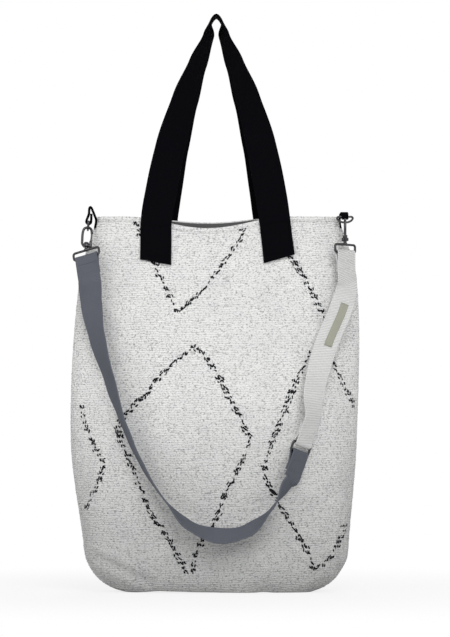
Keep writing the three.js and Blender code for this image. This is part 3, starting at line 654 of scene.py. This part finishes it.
def tuft(shape, centre, along, normal, length, width, height):
    """A short float of yarn or thread: a flattened bead with its ends sunk in the cloth."""
    across = np.cross(normal, along)
    points = []
    for r in range(TUFT_RINGS):
        t = r / (TUFT_RINGS - 1)
        size = math.sin(math.pi * (0.08 + 0.84 * t)) ** 0.6
        for k in range(TUFT_SIDES):
            a = 2 * math.pi * k / TUFT_SIDES
            offset = normal * math.cos(a) * height * size + across * math.sin(a) * width / 2 * size
            points.append(centre + along * (t - 0.5) * length + offset)
    shape.add(points, capped(TUFT_RINGS, TUFT_SIDES))


def tangent_on(face, x, z, lean):
    """The cloth's normal at x and z, and a direction in the cloth that leans from +X."""
    normal = surface_normal(face, x, z)
    along = np.array([math.cos(lean), 0, -math.sin(lean)])
    along -= normal * along.dot(normal)
    return normal, along / np.linalg.norm(along)


def tuft_line(name, face, route, node):
    shape = Shape()
    for start, end in zip(route, route[1:]):
        if start is None or end is None:
            continue
        x0, x1 = ((p[0] - ORIGIN_PIXEL[0]) * PIXEL for p in (start, end))
        z0, z1 = ((ORIGIN_PIXEL[1] - p[1]) * PIXEL for p in (start, end))
        lean = 62 if (x1 - x0) * (z1 - z0) < 0 else -62
        steps = max(1, round(math.hypot(x1 - x0, z1 - z0) / FLECK_STEP))
        for i in range(steps):
            t = (i + random.uniform(0.2, 0.8)) / steps
            z = round((z0 + (z1 - z0) * t) / RIB_PITCH) * RIB_PITCH
            count = random.choice((1, 2, 2, 3, 3, 4))
            x = x0 + (x1 - x0) * t - (count - 1) * FLECK_SPREAD / 2 + random.gauss(0, 0.7)
            for n in range(count):
                at_x, at_z = x + n * FLECK_SPREAD + random.gauss(0, 0.4), z + random.gauss(0, 0.9)
                normal, along = tangent_on(face, at_x, at_z, math.radians(random.gauss(lean, 20)))
                centre = on_cloth(face, at_x, at_z) + normal * random.uniform(-0.05, 0.4)
                tuft(shape, centre, along, normal, random.uniform(2.8, 4.8), random.uniform(1.6, 2.6),
                     random.uniform(0.6, 1.0))
    return dress(make_object(name, shape.points, shape.faces, closed=True), "bag", "yarn", node)


def topstitch(name, face):
    """A row of ivory running stitches under the rim."""
    shape = Shape()
    x, end = TOPSTITCH_SPAN
    while x < end:
        z = float(rim_height(face, x / float(half_width(x, BODY_HEIGHT)))) - TOPSTITCH_DROP
        normal, along = tangent_on(face, x, z, 0.0)
        tuft(shape, on_cloth(face, x, z) + normal * 0.15, along, normal, *TOPSTITCH)
        x += TOPSTITCH_STEP + random.uniform(-0.3, 0.3)
    return dress(make_object(name, shape.points, shape.faces, closed=True), "bag", "wool")


# Flat straps, through stations of a place and the direction of the width
def unit(v):
    return v / max(np.linalg.norm(v), 1e-9)


def station(place, across):
    return np.array(place, float), unit(np.array(across, float))


def centripetal(points, samples, closed=False):
    """A centripetal Catmull-Rom curve through points, as samples to each stretch."""
    points = [np.asarray(p, float) for p in points]
    if closed:
        p = [points[-1], *points, points[0], points[1]]
    else:
        p = [2 * points[0] - points[1], *points, 2 * points[-1] - points[-2]]
    curve = []
    for i in range(1, len(p) - 2):
        knots = [0.0]
        for a, b in ((i - 1, i), (i, i + 1), (i + 1, i + 2)):
            knots.append(knots[-1] + max(np.linalg.norm(p[b] - p[a]), 1e-6) ** 0.5)
        t0, t1, t2, t3 = knots
        for s in range(samples):
            t = t1 + (t2 - t1) * s / samples
            a1 = (t1 - t) / (t1 - t0) * p[i - 1] + (t - t0) / (t1 - t0) * p[i]
            a2 = (t2 - t) / (t2 - t1) * p[i] + (t - t1) / (t2 - t1) * p[i + 1]
            a3 = (t3 - t) / (t3 - t2) * p[i + 1] + (t - t2) / (t3 - t2) * p[i + 2]
            b1 = (t2 - t) / (t2 - t0) * a1 + (t - t0) / (t2 - t0) * a2
            b2 = (t3 - t) / (t3 - t1) * a2 + (t - t1) / (t3 - t1) * a3
            curve.append((t2 - t) / (t2 - t1) * b1 + (t - t1) / (t2 - t1) * b2)
    if not closed:
        curve.append(points[-1])
    return np.array(curve)


def smooth_stations(controls, count):
    samples = 20
    curve = centripetal([c[0] for c in controls], samples)
    length = np.concatenate([[0], np.cumsum(np.linalg.norm(np.diff(curve, axis=0), axis=1))])
    knots = length[::samples] / length[-1]
    stations = []
    for t in np.linspace(0, 1, count + 1):
        place = np.array([np.interp(t * length[-1], length, curve[:, k]) for k in range(3)])
        i = int(np.clip(np.searchsorted(knots, t, side="right") - 1, 0, len(knots) - 2))
        local = float(smoothstep(t, knots[i], knots[i + 1]))
        stations.append(station(place, controls[i][1] * (1 - local) + controls[i + 1][1] * local))
    return stations


ACROSS_SHARES = (-1, -0.91, -0.87, -0.83, -0.74, -0.5, -0.25, 0, 0.25, 0.5, 0.74, 0.83, 0.87, 0.91, 1)


def strap_section(width, thickness, groove):
    """Half-round edges, and flat faces with a groove by each edge, as (across, out) pairs going round."""
    edge = thickness / 2
    flat = width / 2 - edge
    dents = [groove if abs(a) == 0.87 else 0 for a in ACROSS_SHARES]
    points = [(a * flat, edge - dent) for a, dent in zip(ACROSS_SHARES, dents)]
    points += [(flat + edge * math.cos(b), edge * math.sin(b)) for b in (0.9, 0.0, -0.9)]
    points += [(-a * flat, dent - edge) for a, dent in zip(ACROSS_SHARES, dents)]
    points += [(-flat - edge * math.cos(b), edge * math.sin(b)) for b in (-0.9, 0.0, 0.9)]
    return points


def strap_axes(stations):
    """At each station, the directions along, across and out of the strap."""
    tangents = np.gradient(np.array([s[0] for s in stations]), axis=0)
    axes = []
    for (_, across), tangent in zip(stations, tangents):
        along = unit(tangent)
        side = unit(across - along * across.dot(along))
        axes.append((along, side, np.cross(side, along)))
    return axes


def strap_run(stations):
    steps = [np.linalg.norm(b[0] - a[0]) for a, b in zip(stations, stations[1:])]
    return np.concatenate([[0], np.cumsum(steps)])


def strap(name, stations, width, thickness, groove, slants=(0, 0), ripple=0.0, extra=None):
    section = strap_section(width, thickness, groove)
    run = strap_run(stations)
    points, uvs = [], []
    for i, ((place, _), (_, side, normal)) in enumerate(zip(stations, strap_axes(stations))):
        slant = slants[0] * max(0, 1 - run[i] / SLANT_REACH)
        slant += slants[1] * max(0, 1 - (run[-1] - run[i]) / SLANT_REACH)
        for a, out in section:
            wave = ripple * float(waves(41, 6, np.array(a), np.array(run[i]), RIPPLE_LENGTH))
            p = place + side * a + normal * (out + wave)
            p[2] += slant * side[0] * a
            points.append(p)
            uvs.append((a, run[i]))
    faces = capped(len(stations), len(section))
    if extra:
        faces += [[len(points) + k for k in face] for face in extra.faces]
        points += extra.points
        uvs += [(0, 0)] * len(extra.points)
    obj = make_object(name, points, faces, closed=True)
    layer = obj.data.uv_layers.new(name="strap")
    for loop in obj.data.loops:
        layer.data[loop.index].uv = uvs[loop.vertex_index]
    return obj


def stitch_box(shape, stations, start, length, half, lift, facing):
    """A box of stitches on the side of a strap that faces -Y or +Y, from start along it."""
    run = strap_run(stations)
    axes = strap_axes(stations)

    def stitch(along_run, a, crosswise):
        i = int(np.argmin(np.abs(run - along_run)))
        along, side, normal = axes[i]
        normal = normal * (1 if normal[1] * facing > 0 else -1)
        centre = stations[i][0] + side * a + normal * lift
        tuft(shape, centre, side if crosswise else along, normal, *STITCH)

    for k in range(int(length / STITCH_STEP) + 1):
        for a in (-half, half):
            stitch(start + STITCH_STEP * k, a, False)
    for k in range(int(2 * half / STITCH_STEP)):
        for end in (start, start + length):
            stitch(end, -half + STITCH_STEP / 2 + STITCH_STEP * k, True)


def handle_stations(face, inset):
    lift = HANDLE_CLEAR + HANDLE_THICKNESS / 2

    def foot(x, height):
        slope = float(surface_y(face, x + 5, height) - surface_y(face, x - 5, height)) / 10
        return station((x, float(surface_y(face, x, height)) + face * lift, height), (1, slope, 0))

    top_y = face * (HANDLE_WIDTH / 2 + HANDLE_TOP_GAP)
    pinch_height = HANDLE_TOP - HANDLE_PINCH_DROP
    legs = {}
    for side in (-1, 1):
        foot_x = HANDLE_FOOT[side] - side * inset
        rim_x = HANDLE_RIM[side] - side * inset
        rim = float(rim_height(face, rim_x / float(half_width(rim_x, BODY_HEIGHT))))
        sewn = HANDLE_SEWN[side]
        leg = [foot(foot_x, rim - sewn), foot((foot_x + rim_x) / 2, rim - sewn / 2), foot(rim_x, rim)]
        for t in (0.15, 0.4, 0.65, 0.85, 1.0):
            bow = side * HANDLE_BOW * math.sin(math.pi * t)
            x = rim_x + (HANDLE_TOP_X + side * HANDLE_PINCH - rim_x) * t + bow
            y = leg[2][0][1] + (top_y - leg[2][0][1]) * t
            turn = math.radians(HANDLE_TURN * t**1.4) * side
            across = (math.cos(turn), face * math.sin(turn), 0)
            leg.append(station((x, y, rim + (pinch_height - rim) * t), across))
        legs[side] = leg
    crown = HANDLE_TOP - HANDLE_THICKNESS / 2
    over = [station((HANDLE_TOP_X + s * 6.5, top_y, crown - abs(s) * 7), (0, face, 0)) for s in (-1, 0, 1)]
    controls = legs[-1] + over + legs[1][::-1]
    for i in range(1, len(controls)):
        if controls[i][1].dot(controls[i - 1][1]) < 0:
            controls[i] = (controls[i][0], -controls[i][1])
    return controls


def handle(name, face, inset, node):
    stations = smooth_stations(handle_stations(face, inset), HANDLE_STATIONS)
    stitches = Shape()
    lift = HANDLE_THICKNESS / 2 + 0.1
    for end in (stations, stations[::-1]):
        stitch_box(stitches, end, *HANDLE_SEAM, HANDLE_WIDTH / 2 - STITCH_EDGE, lift, face)
    slants = (-HANDLE_SLANT, HANDLE_SLANT)
    obj = strap(name, stations, HANDLE_WIDTH, HANDLE_THICKNESS, 0.2, slants, extra=stitches)
    return dress(obj, "bag", "black", node)


# Frames of the metal pieces, as in the part
def rotation(axis, degrees):
    return np.array(Matrix.Rotation(math.radians(degrees), 3, axis))


RING_AXES = {"left": rotation("Z", 90) @ rotation("X", 6), "right": rotation("X", -48)}
HOOK_AXES = {"left": rotation("X", -22) @ rotation("Y", 4), "right": rotation("X", -4) @ rotation("Z", 90)}
LOOP_TURN = {"left": rotation("Z", -20) @ rotation("Y", -13), "right": rotation("Z", -48)}
LINK_DROP = (RING_WIRE + HOOK_WIRE) / 2 + GAP
HOOK_ORIGIN = {
    side: BAR[side] + RING_AXES[side] @ np.array((0, 0, -RING_DROP)) + np.array((0, 0, LINK_DROP))
    for side in BAR
}
EYE_AXES = {side: HOOK_AXES[side] @ LOOP_TURN[side] for side in BAR}
EYE_ORIGIN = {side: HOOK_ORIGIN[side] + HOOK_AXES[side] @ np.array((0, 0, -EYE_BELOW_HOOK)) for side in BAR}
BUCKLE_BAR = unit(np.array((0.62, 0.74, -0.25)))
BUCKLE_DOWN = np.array((-0.3, -0.02, -0.95))
BUCKLE_DOWN = unit(BUCKLE_DOWN - BUCKLE_BAR * BUCKLE_DOWN.dot(BUCKLE_BAR))
BUCKLE_CENTRE = place_on(-1, RING_PLACE[0], RING_PLACE[1], RING_PLACE[2] * STAND_OFF)
BUCKLE_NORMAL = np.cross(BUCKLE_BAR, BUCKLE_DOWN)
BUCKLE_BACK = BUCKLE_NORMAL * np.sign(BUCKLE_NORMAL[1])


# The shoulder strap: each end folded round a bar and sewn down behind
def folded_end(bar, across, down, back, bar_radius, thickness):
    """The fold as stations up to where the strap leaves it, and the two stations that lead out of it."""
    reach = bar_radius + GAP + thickness / 2
    behind = thickness + GAP - reach
    route = [(FOLD_BACK, behind + FOLD_OPEN), (FOLD_BACK * 0.75, behind + FOLD_OPEN * 0.6),
             (FOLD_BACK * 0.5, behind), (FOLD_BACK * 0.27, (behind + reach) / 2)]
    for angle in range(0, 181, 30):
        turn = math.radians(angle)
        route.append((-reach * math.sin(turn), reach * math.cos(turn)))
    route += [(FOLD_BACK * share, -reach) for share in (0.27, 0.5, 1, 1.3)]
    places = [bar + down * d + back * b for d, b in route]
    samples = 5
    curve = centripetal(places, samples)
    wrap = [station(p, across) for p in curve[:(len(places) - 2) * samples]]
    return wrap, [station(p, across) for p in places[-2:]]


def strap_line(side, route, towards, thickness, count):
    eye = EYE_AXES[side]
    eye_bar = EYE_ORIGIN[side] + eye @ np.array((0, 0, -EYE_HEIGHT - EYE_WIRE))
    top, top_lead = folded_end(eye_bar, eye[:, 0], -eye[:, 2], eye[:, 1], EYE_WIRE / 2, thickness)
    bar = BUCKLE_CENTRE + BUCKLE_DOWN * towards * (BUCKLE_HEIGHT + BUCKLE_WIRE) / 2
    foot, foot_lead = folded_end(bar, BUCKLE_BAR * -towards, BUCKLE_DOWN * towards, BUCKLE_BACK,
                                 BUCKLE_WIRE / 2, thickness)
    hang = [station(place_on(-1, a, b, c * STAND_OFF), width) for a, b, c, *width in route]
    middle = smooth_stations([*top_lead, *hang, *foot_lead[::-1]], count)
    first = [s for s in top if (s[0] - top_lead[0][0]).dot(unit(top_lead[1][0] - top_lead[0][0])) < -0.3]
    last = [s for s in foot if (s[0] - foot_lead[0][0]).dot(unit(foot_lead[1][0] - foot_lead[0][0])) < -0.3]
    return first + middle + last[::-1]


def front_stitches(stations, lift):
    """Boxes of stitches over both folded ends, on the strap's front."""
    shape = Shape()
    for end in (stations, stations[::-1]):
        stitch_box(shape, end, *STRAP_SEAM, STRAP_WIDTH / 2 - STITCH_EDGE, lift, -1)
    return shape


def label(stations):
    """The bare tape on the white webbing, turned under and stitched across at both ends."""
    lift = (WHITE_THICKNESS + LABEL_THICKNESS) / 2 + 0.1
    run = strap_run(stations)
    chosen = []
    for (place, _), (_, side, normal), r in zip(stations, strap_axes(stations), run):
        if LABEL_START <= r <= LABEL_START + LABEL_LENGTH:
            out = normal if normal[1] < 0 else -normal
            chosen.append(station(place + out * lift + side * LABEL_SHIFT, side))
    shape = Shape()
    for end in (chosen, chosen[::-1]):
        axes = strap_axes(end)
        for i, a in ((1, -3), (1, 0), (1, 3)):
            _, side, normal = axes[i]
            normal = normal if normal[1] < 0 else -normal
            tuft(shape, end[i][0] + side * a + normal * 0.45, side, normal, 2.2, 0.6, 0.3)
    tape = strap("label_tape", chosen, LABEL_WIDTH, LABEL_THICKNESS, 0.1, extra=shape)
    return dress(tape, "strap", "label", "strap_label")


# Tabs of black webbing on the side seams, round the bars of the D rings
def tab(name, controls, thickness, node):
    stations = smooth_stations(controls, TAB_STATIONS)
    return dress(strap(name, stations, TAB_WIDTH, thickness, 0.15), "bag", "black", node)


def round_bar(bar, outward, along, thickness):
    reach = (RING_WIRE + thickness) / 2 + 0.1
    turns = [math.radians(angle) for angle in range(0, 181, 30)]
    return [station(bar + outward * reach * math.cos(a) - np.array((0, 0, reach * math.sin(a))), along)
            for a in turns]


def by_bar(bar, x, y, z, turn):
    a = math.radians(turn)
    return station(bar + np.array((x, y, z)), (math.sin(a), math.cos(a), 0))


def tabs():
    bar = BAR["left"]
    y_axis, x_axis = np.array((0, 1.0, 0)), np.array((1.0, 0, 0))
    seam = -RIM["left"] - TAB_THICKNESS / 2 - 0.3
    tab("left_tab_webbing", [
        station((seam - 1.6, 0, BODY_HEIGHT - 14), y_axis), station((seam - 0.3, 0, BODY_HEIGHT - 4), y_axis),
        by_bar(bar, 7.4, 2, 8, 0), by_bar(bar, 5.4, 1, 13, 0), by_bar(bar, 3.4, 0.4, 17.4, 0),
        by_bar(bar, 2.0, 0.2, 18.4, 0), by_bar(bar, 0.9, 0, 16.6, 0), by_bar(bar, 0.3, 0, 10, 0),
        *round_bar(bar, -x_axis, y_axis, PRESSED_TAB), by_bar(bar, 3.3, 0, 6, 0), by_bar(bar, 3.3, 0, 10, 0),
    ], PRESSED_TAB, "tab_left")
    bar = BAR["right"]
    seam = RIM["right"] + TAB_THICKNESS / 2 + 0.3
    tab("right_tab_webbing", [
        station((seam + 1.6, 1, BODY_HEIGHT - 14), y_axis), station((seam + 0.4, 1, BODY_HEIGHT - 4), y_axis),
        by_bar(bar, -5.2, 11, 0.8, 14), by_bar(bar, -3.6, 9.4, 3.4, 38), by_bar(bar, -1.8, 6.8, 4.9, 66),
        by_bar(bar, -0.5, 3.8, 5.0, 85), by_bar(bar, 0, 0.8, 4.2, 90), by_bar(bar, 0, -1.4, 2.4, 90),
        *round_bar(bar, -y_axis, x_axis, TAB_THICKNESS), by_bar(bar, 0, 2.6, 1.8, 90),
    ], TAB_THICKNESS, "tab_right")


# Metal pieces, each in its own frame: its wires lie in the XZ plane
def wire(shape, path, diameter, closed=False, nose=0.0):
    """A round wire along a path, which narrows over its last stretch where it has a nose."""
    path = np.array(path, float)
    sides = WIRE_SIDES
    if path.shape[1] == 2:
        path = np.stack([path[:, 0], np.zeros(len(path)), path[:, 1]], axis=1)
    along = np.roll(path, -1, axis=0) - np.roll(path, 1, axis=0) if closed else np.gradient(path, axis=0)
    run = np.concatenate([[0], np.cumsum(np.linalg.norm(np.diff(path, axis=0), axis=1))])
    points = []
    for p, tangent, r in zip(path, along, run):
        side = unit(np.cross(tangent, (0, 1, 0)))
        left = run[-1] - r
        narrowed = math.sqrt(max(1 - (1 - left / nose) ** 2, 0.02)) if nose and left < nose else 1
        size = diameter / 2 * narrowed
        for k in range(sides):
            a = 2 * math.pi * k / sides
            points.append(p + side * math.cos(a) * size + np.array((0, math.sin(a) * size, 0)))
    if closed:
        faces = grid_faces(len(path), sides, wrap=True)
        last = (len(path) - 1) * sides
        faces += [[last + k, last + (k + 1) % sides, (k + 1) % sides, k] for k in range(sides)]
    else:
        faces = capped(len(path), sides)
    shape.add(points, faces)


def turned(shape, rings):
    """A piece turned about Z, from rings of a radius and a height."""
    angles = [2 * math.pi * k / TURNED_SIDES for k in range(TURNED_SIDES)]
    points = [(r * math.cos(a), r * math.sin(a), z) for r, z in rings for a in angles]
    shape.add(points, capped(len(rings), TURNED_SIDES))


def barrel(shape, radius, low, high, edge):
    turned(shape, [(radius - edge, low), (radius - edge * 0.3, low + edge * 0.3), (radius, low + edge),
                   (radius, high - edge), (radius - edge * 0.3, high - edge * 0.3), (radius - edge, high)])


def plate(shape, outline, low, high):
    """A flat piece across Y, its outline in X and Z, with softened edges."""
    outline = np.array(outline, float)
    edge = PLATE_EDGE
    inward = outline.mean(axis=0) - outline
    smaller = outline + inward / np.linalg.norm(inward, axis=1, keepdims=True) * edge
    points = []
    for ring, y in ((smaller, low), (outline, low + edge), (outline, high - edge), (smaller, high)):
        points += [(x, y, z) for x, z in ring]
    shape.add(points, capped(4, len(outline)))


def rounded(half_x, top, bottom, corner):
    outline = []
    for x, z, start in ((half_x - corner, top - corner, 0), (-half_x + corner, top - corner, 90),
                        (-half_x + corner, bottom + corner, 180), (half_x - corner, bottom + corner, 270)):
        for step in range(0, 91, 10):
            a = math.radians(start + step)
            outline.append((x + corner * math.cos(a), z + corner * math.sin(a)))
    return outline


def metal(name, shape, origin, axes, body, node):
    shape.placed(origin, axes)
    return dress(make_object(name, shape.points, shape.faces, closed=True), body, "metal", node)


def d_ring(side):
    half = (RING_INSIDE + RING_WIRE) / 2
    points = [(half - 1.5, 0), (half / 2, 0), (0, 0), (-half / 2, 0), (-half + 1.5, 0)]
    for i in range(13):
        a = math.pi + i / 12 * math.pi
        points.append((half * math.cos(a), -2 + (RING_DROP - 2) * math.sin(a)))
    shape = Shape()
    wire(shape, centripetal(points, 5, closed=True), RING_WIRE * WIRE_TRIM, closed=True)
    metal(f"d_ring_{side}", shape, BAR[side], RING_AXES[side], f"ring_{side}", f"dring_{side}")


def hook(side):
    top = -HOOK_LENGTH
    s = HOOK_SIDE
    path = [(-2.9, top - 3), (-s * 0.93, top + 0.5), (-s, top + 5), (-s, -s - 1), (-s * 0.72, -s * 0.3),
            (0, 0), (s * 0.72, -s * 0.3), (s, -s - 1), (s, -HOOK_NOSE)]
    shape = Shape()
    wire(shape, centripetal(path, 8), HOOK_WIRE * WIRE_TRIM, nose=0.9)
    barrel(shape, COLLAR_RADIUS, top - COLLAR_HEIGHT, top, 0.6)
    pin_x, pin_z = s - 0.3, top + 2.6
    ear = [(pin_x + EAR_RADIUS * math.cos(math.radians(a)), pin_z + EAR_RADIUS * math.sin(math.radians(a)))
           for a in range(0, 181, 15)]
    foot = top - COLLAR_HEIGHT
    ear += [(pin_x - EAR_RADIUS, foot + 0.6), (pin_x - 0.9, foot), (pin_x + 0.9, foot),
            (pin_x + EAR_RADIUS, foot + 0.6)]
    inside, outside = GATE_HALF + GAP, GATE_HALF + GAP + EAR_THICKNESS
    plate(shape, ear, -outside, -inside)
    plate(shape, ear, inside, outside)
    bridge = [(1, foot), (pin_x + 1.4, foot), (pin_x + EAR_RADIUS, foot + 0.5), (pin_x + EAR_RADIUS, top - 1),
              (pin_x + 1.4, top - 0.6), (1, top - 0.6)]
    plate(shape, bridge, -outside, outside)
    metal(f"snap_hook_{side}", shape, HOOK_ORIGIN[side], HOOK_AXES[side], f"hook_{side}", f"claw_{side}")


def eye(side):
    shape = Shape()
    half = (EYE_INSIDE + EYE_WIRE) / 2
    wire(shape, rounded(half, 0, -EYE_HEIGHT - EYE_WIRE, 3), EYE_WIRE, closed=True)
    shape.placed(np.array((0, 0, -EYE_BELOW_HOOK)), LOOP_TURN[side])
    barrel(shape, STEM_RADIUS, -EYE_BELOW_HOOK, -HOOK_LENGTH + 0.8, 0.2)
    barrel(shape, 2.6, -EYE_BELOW_HOOK - 1.2, -EYE_BELOW_HOOK + 2.2, 1.0)
    barrel(shape, STEM_HEAD_RADIUS, -HOOK_LENGTH + GAP, -HOOK_LENGTH + GAP + STEM_HEAD_HEIGHT, 0.6)
    metal(f"swivel_eye_{side}", shape, HOOK_ORIGIN[side], HOOK_AXES[side], "strap", f"strap_eye_{side}")


def rectangular_ring():
    shape = Shape()
    half_x, half_z = (BUCKLE_INSIDE + BUCKLE_WIRE) / 2, (BUCKLE_HEIGHT + BUCKLE_WIRE) / 2
    wire(shape, rounded(half_x, half_z, -half_z, 2.5), BUCKLE_WIRE, closed=True)
    axes = np.stack([BUCKLE_BAR, BUCKLE_NORMAL, -BUCKLE_DOWN], axis=1)
    metal("strap_ring", shape, BUCKLE_CENTRE, axes, "strap", "rectangular_ring")


# Camera, floor and light
def stage():
    scene = bpy.context.scene
    scene.view_settings.view_transform = "Standard"
    camera = bpy.data.cameras.new("camera")
    camera.sensor_fit = "VERTICAL"
    camera.sensor_height = 24
    camera.lens = camera.sensor_height * CAMERA_DISTANCE / (IMAGE[1] * PIXEL)
    camera.clip_end = 50
    obj = bpy.data.objects.new("camera", camera)
    x = (IMAGE[0] / 2 - ORIGIN_PIXEL[0]) * PIXEL
    z = (ORIGIN_PIXEL[1] - IMAGE[1] / 2) * PIXEL
    obj.location = Vector((x, -CAMERA_DISTANCE, z)) * MM
    obj.rotation_euler = (math.pi / 2, 0, 0)
    scene.collection.objects.link(obj)
    scene.camera = obj
    floor_and_world(scene)
    for name, place, size, power in LIGHTS:
        light = bpy.data.lights.new(name, "AREA")
        light.size = size
        light.energy = power
        lamp = bpy.data.objects.new(name, light)
        lamp.location = place
        lamp.visible_camera = False
        lamp.rotation_euler = (Vector((0, 0, LIGHT_AIM)) - Vector(place)).to_track_quat("-Z", "Y").to_euler()
        scene.collection.objects.link(lamp)


def seen_directly(tree):
    """1 for what the camera, a glossy ray or a transmitted ray sees, and 0 for the light on the object."""
    path = tree.nodes.new("ShaderNodeLightPath")
    seen = maths(tree, "MAXIMUM", path.outputs["Is Camera Ray"], path.outputs["Is Glossy Ray"])
    return maths(tree, "MAXIMUM", seen, path.outputs["Is Transmission Ray"])


def floor_and_world(scene):
    world = bpy.data.worlds.new("world")
    world.use_nodes = True
    scene.world = world
    tree = world.node_tree
    background = put(tree.nodes["Background"], Color=(1, 1, 1, 1))
    strength = map_range(tree, seen_directly(tree), target=(WORLD_LIGHT, 1))
    tree.links.new(strength, background.inputs["Strength"])

    bpy.ops.mesh.primitive_circle_add(vertices=96, radius=FLOOR_RADIUS, fill_type="NGON",
                                      location=(0, 0, -FLOOR_DROP))
    floor = bpy.context.object
    floor.name = "floor"
    material = bpy.data.materials.new("floor")
    material.use_nodes = True
    tree = material.node_tree
    tree.nodes.remove(tree.nodes["Principled BSDF"])
    diffuse = put(tree.nodes.new("ShaderNodeBsdfDiffuse"), Color=(FLOOR_GREY, FLOOR_GREY, FLOOR_GREY, 1))
    glow = tree.nodes.new("ShaderNodeEmission")
    blend = tree.nodes.new("ShaderNodeMixShader")
    # The floor glows white away from the object, and close to it leaves room for its shadow
    coords = tree.nodes.new("ShaderNodeTexCoord")
    reach = tree.nodes.new("ShaderNodeVectorMath")
    reach.operation = "LENGTH"
    tree.links.new(coords.outputs["Object"], reach.inputs[0])
    spread = map_range(tree, reach.outputs["Value"], GLOW_REACH, (GLOW_NEAR, 1), smooth=True)
    tree.links.new(maths(tree, "MULTIPLY", seen_directly(tree), spread), blend.inputs[0])
    tree.links.new(diffuse.outputs[0], blend.inputs[1])
    tree.links.new(glow.outputs[0], blend.inputs[2])
    tree.links.new(blend.outputs[0], tree.nodes["Material Output"].inputs["Surface"])
    floor.data.materials.append(material)


stage()
panel("front_cloth", -1, "front_panel")
panel("back_cloth", 1, "back_panel")
lining_cup()
for face, where in ((-1, "front"), (1, "back")):
    for name, route in LINES.items():
        tuft_line(f"{where}_{name}_tufts", face, route, f"{where}_{name}")
    topstitch(f"{where}_topstitch", face)
handle("hand_strap_front", -1, 0, "handle_front")
handle("hand_strap_back", 1, BACK_HANDLE_INSET, "handle_back")
tabs()
grey_line = strap_line("left", GREY_ROUTE, 1, GREY_THICKNESS, 240)
white_line = strap_line("right", WHITE_ROUTE, -1, WHITE_THICKNESS, 120)
for colour, line, thickness, groove, ripple in (
    ("grey", grey_line, GREY_THICKNESS, 0.3, 0.25), ("white", white_line, WHITE_THICKNESS, 0.15, 0.2),
):
    stitches = front_stitches(line, thickness / 2)
    half = strap(f"{colour}_strap", line, STRAP_WIDTH, thickness, groove, ripple=ripple, extra=stitches)
    dress(half, "strap", colour, f"strap_{colour}")
label(white_line)
for side in BAR:
    d_ring(side)
    hook(side)
    eye(side)
rectangular_ring()

# Gates, pins and springs stay as the part has them
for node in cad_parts.values():
    node.data.materials.clear()
    node.data.materials.append(MATERIALS["metal"])
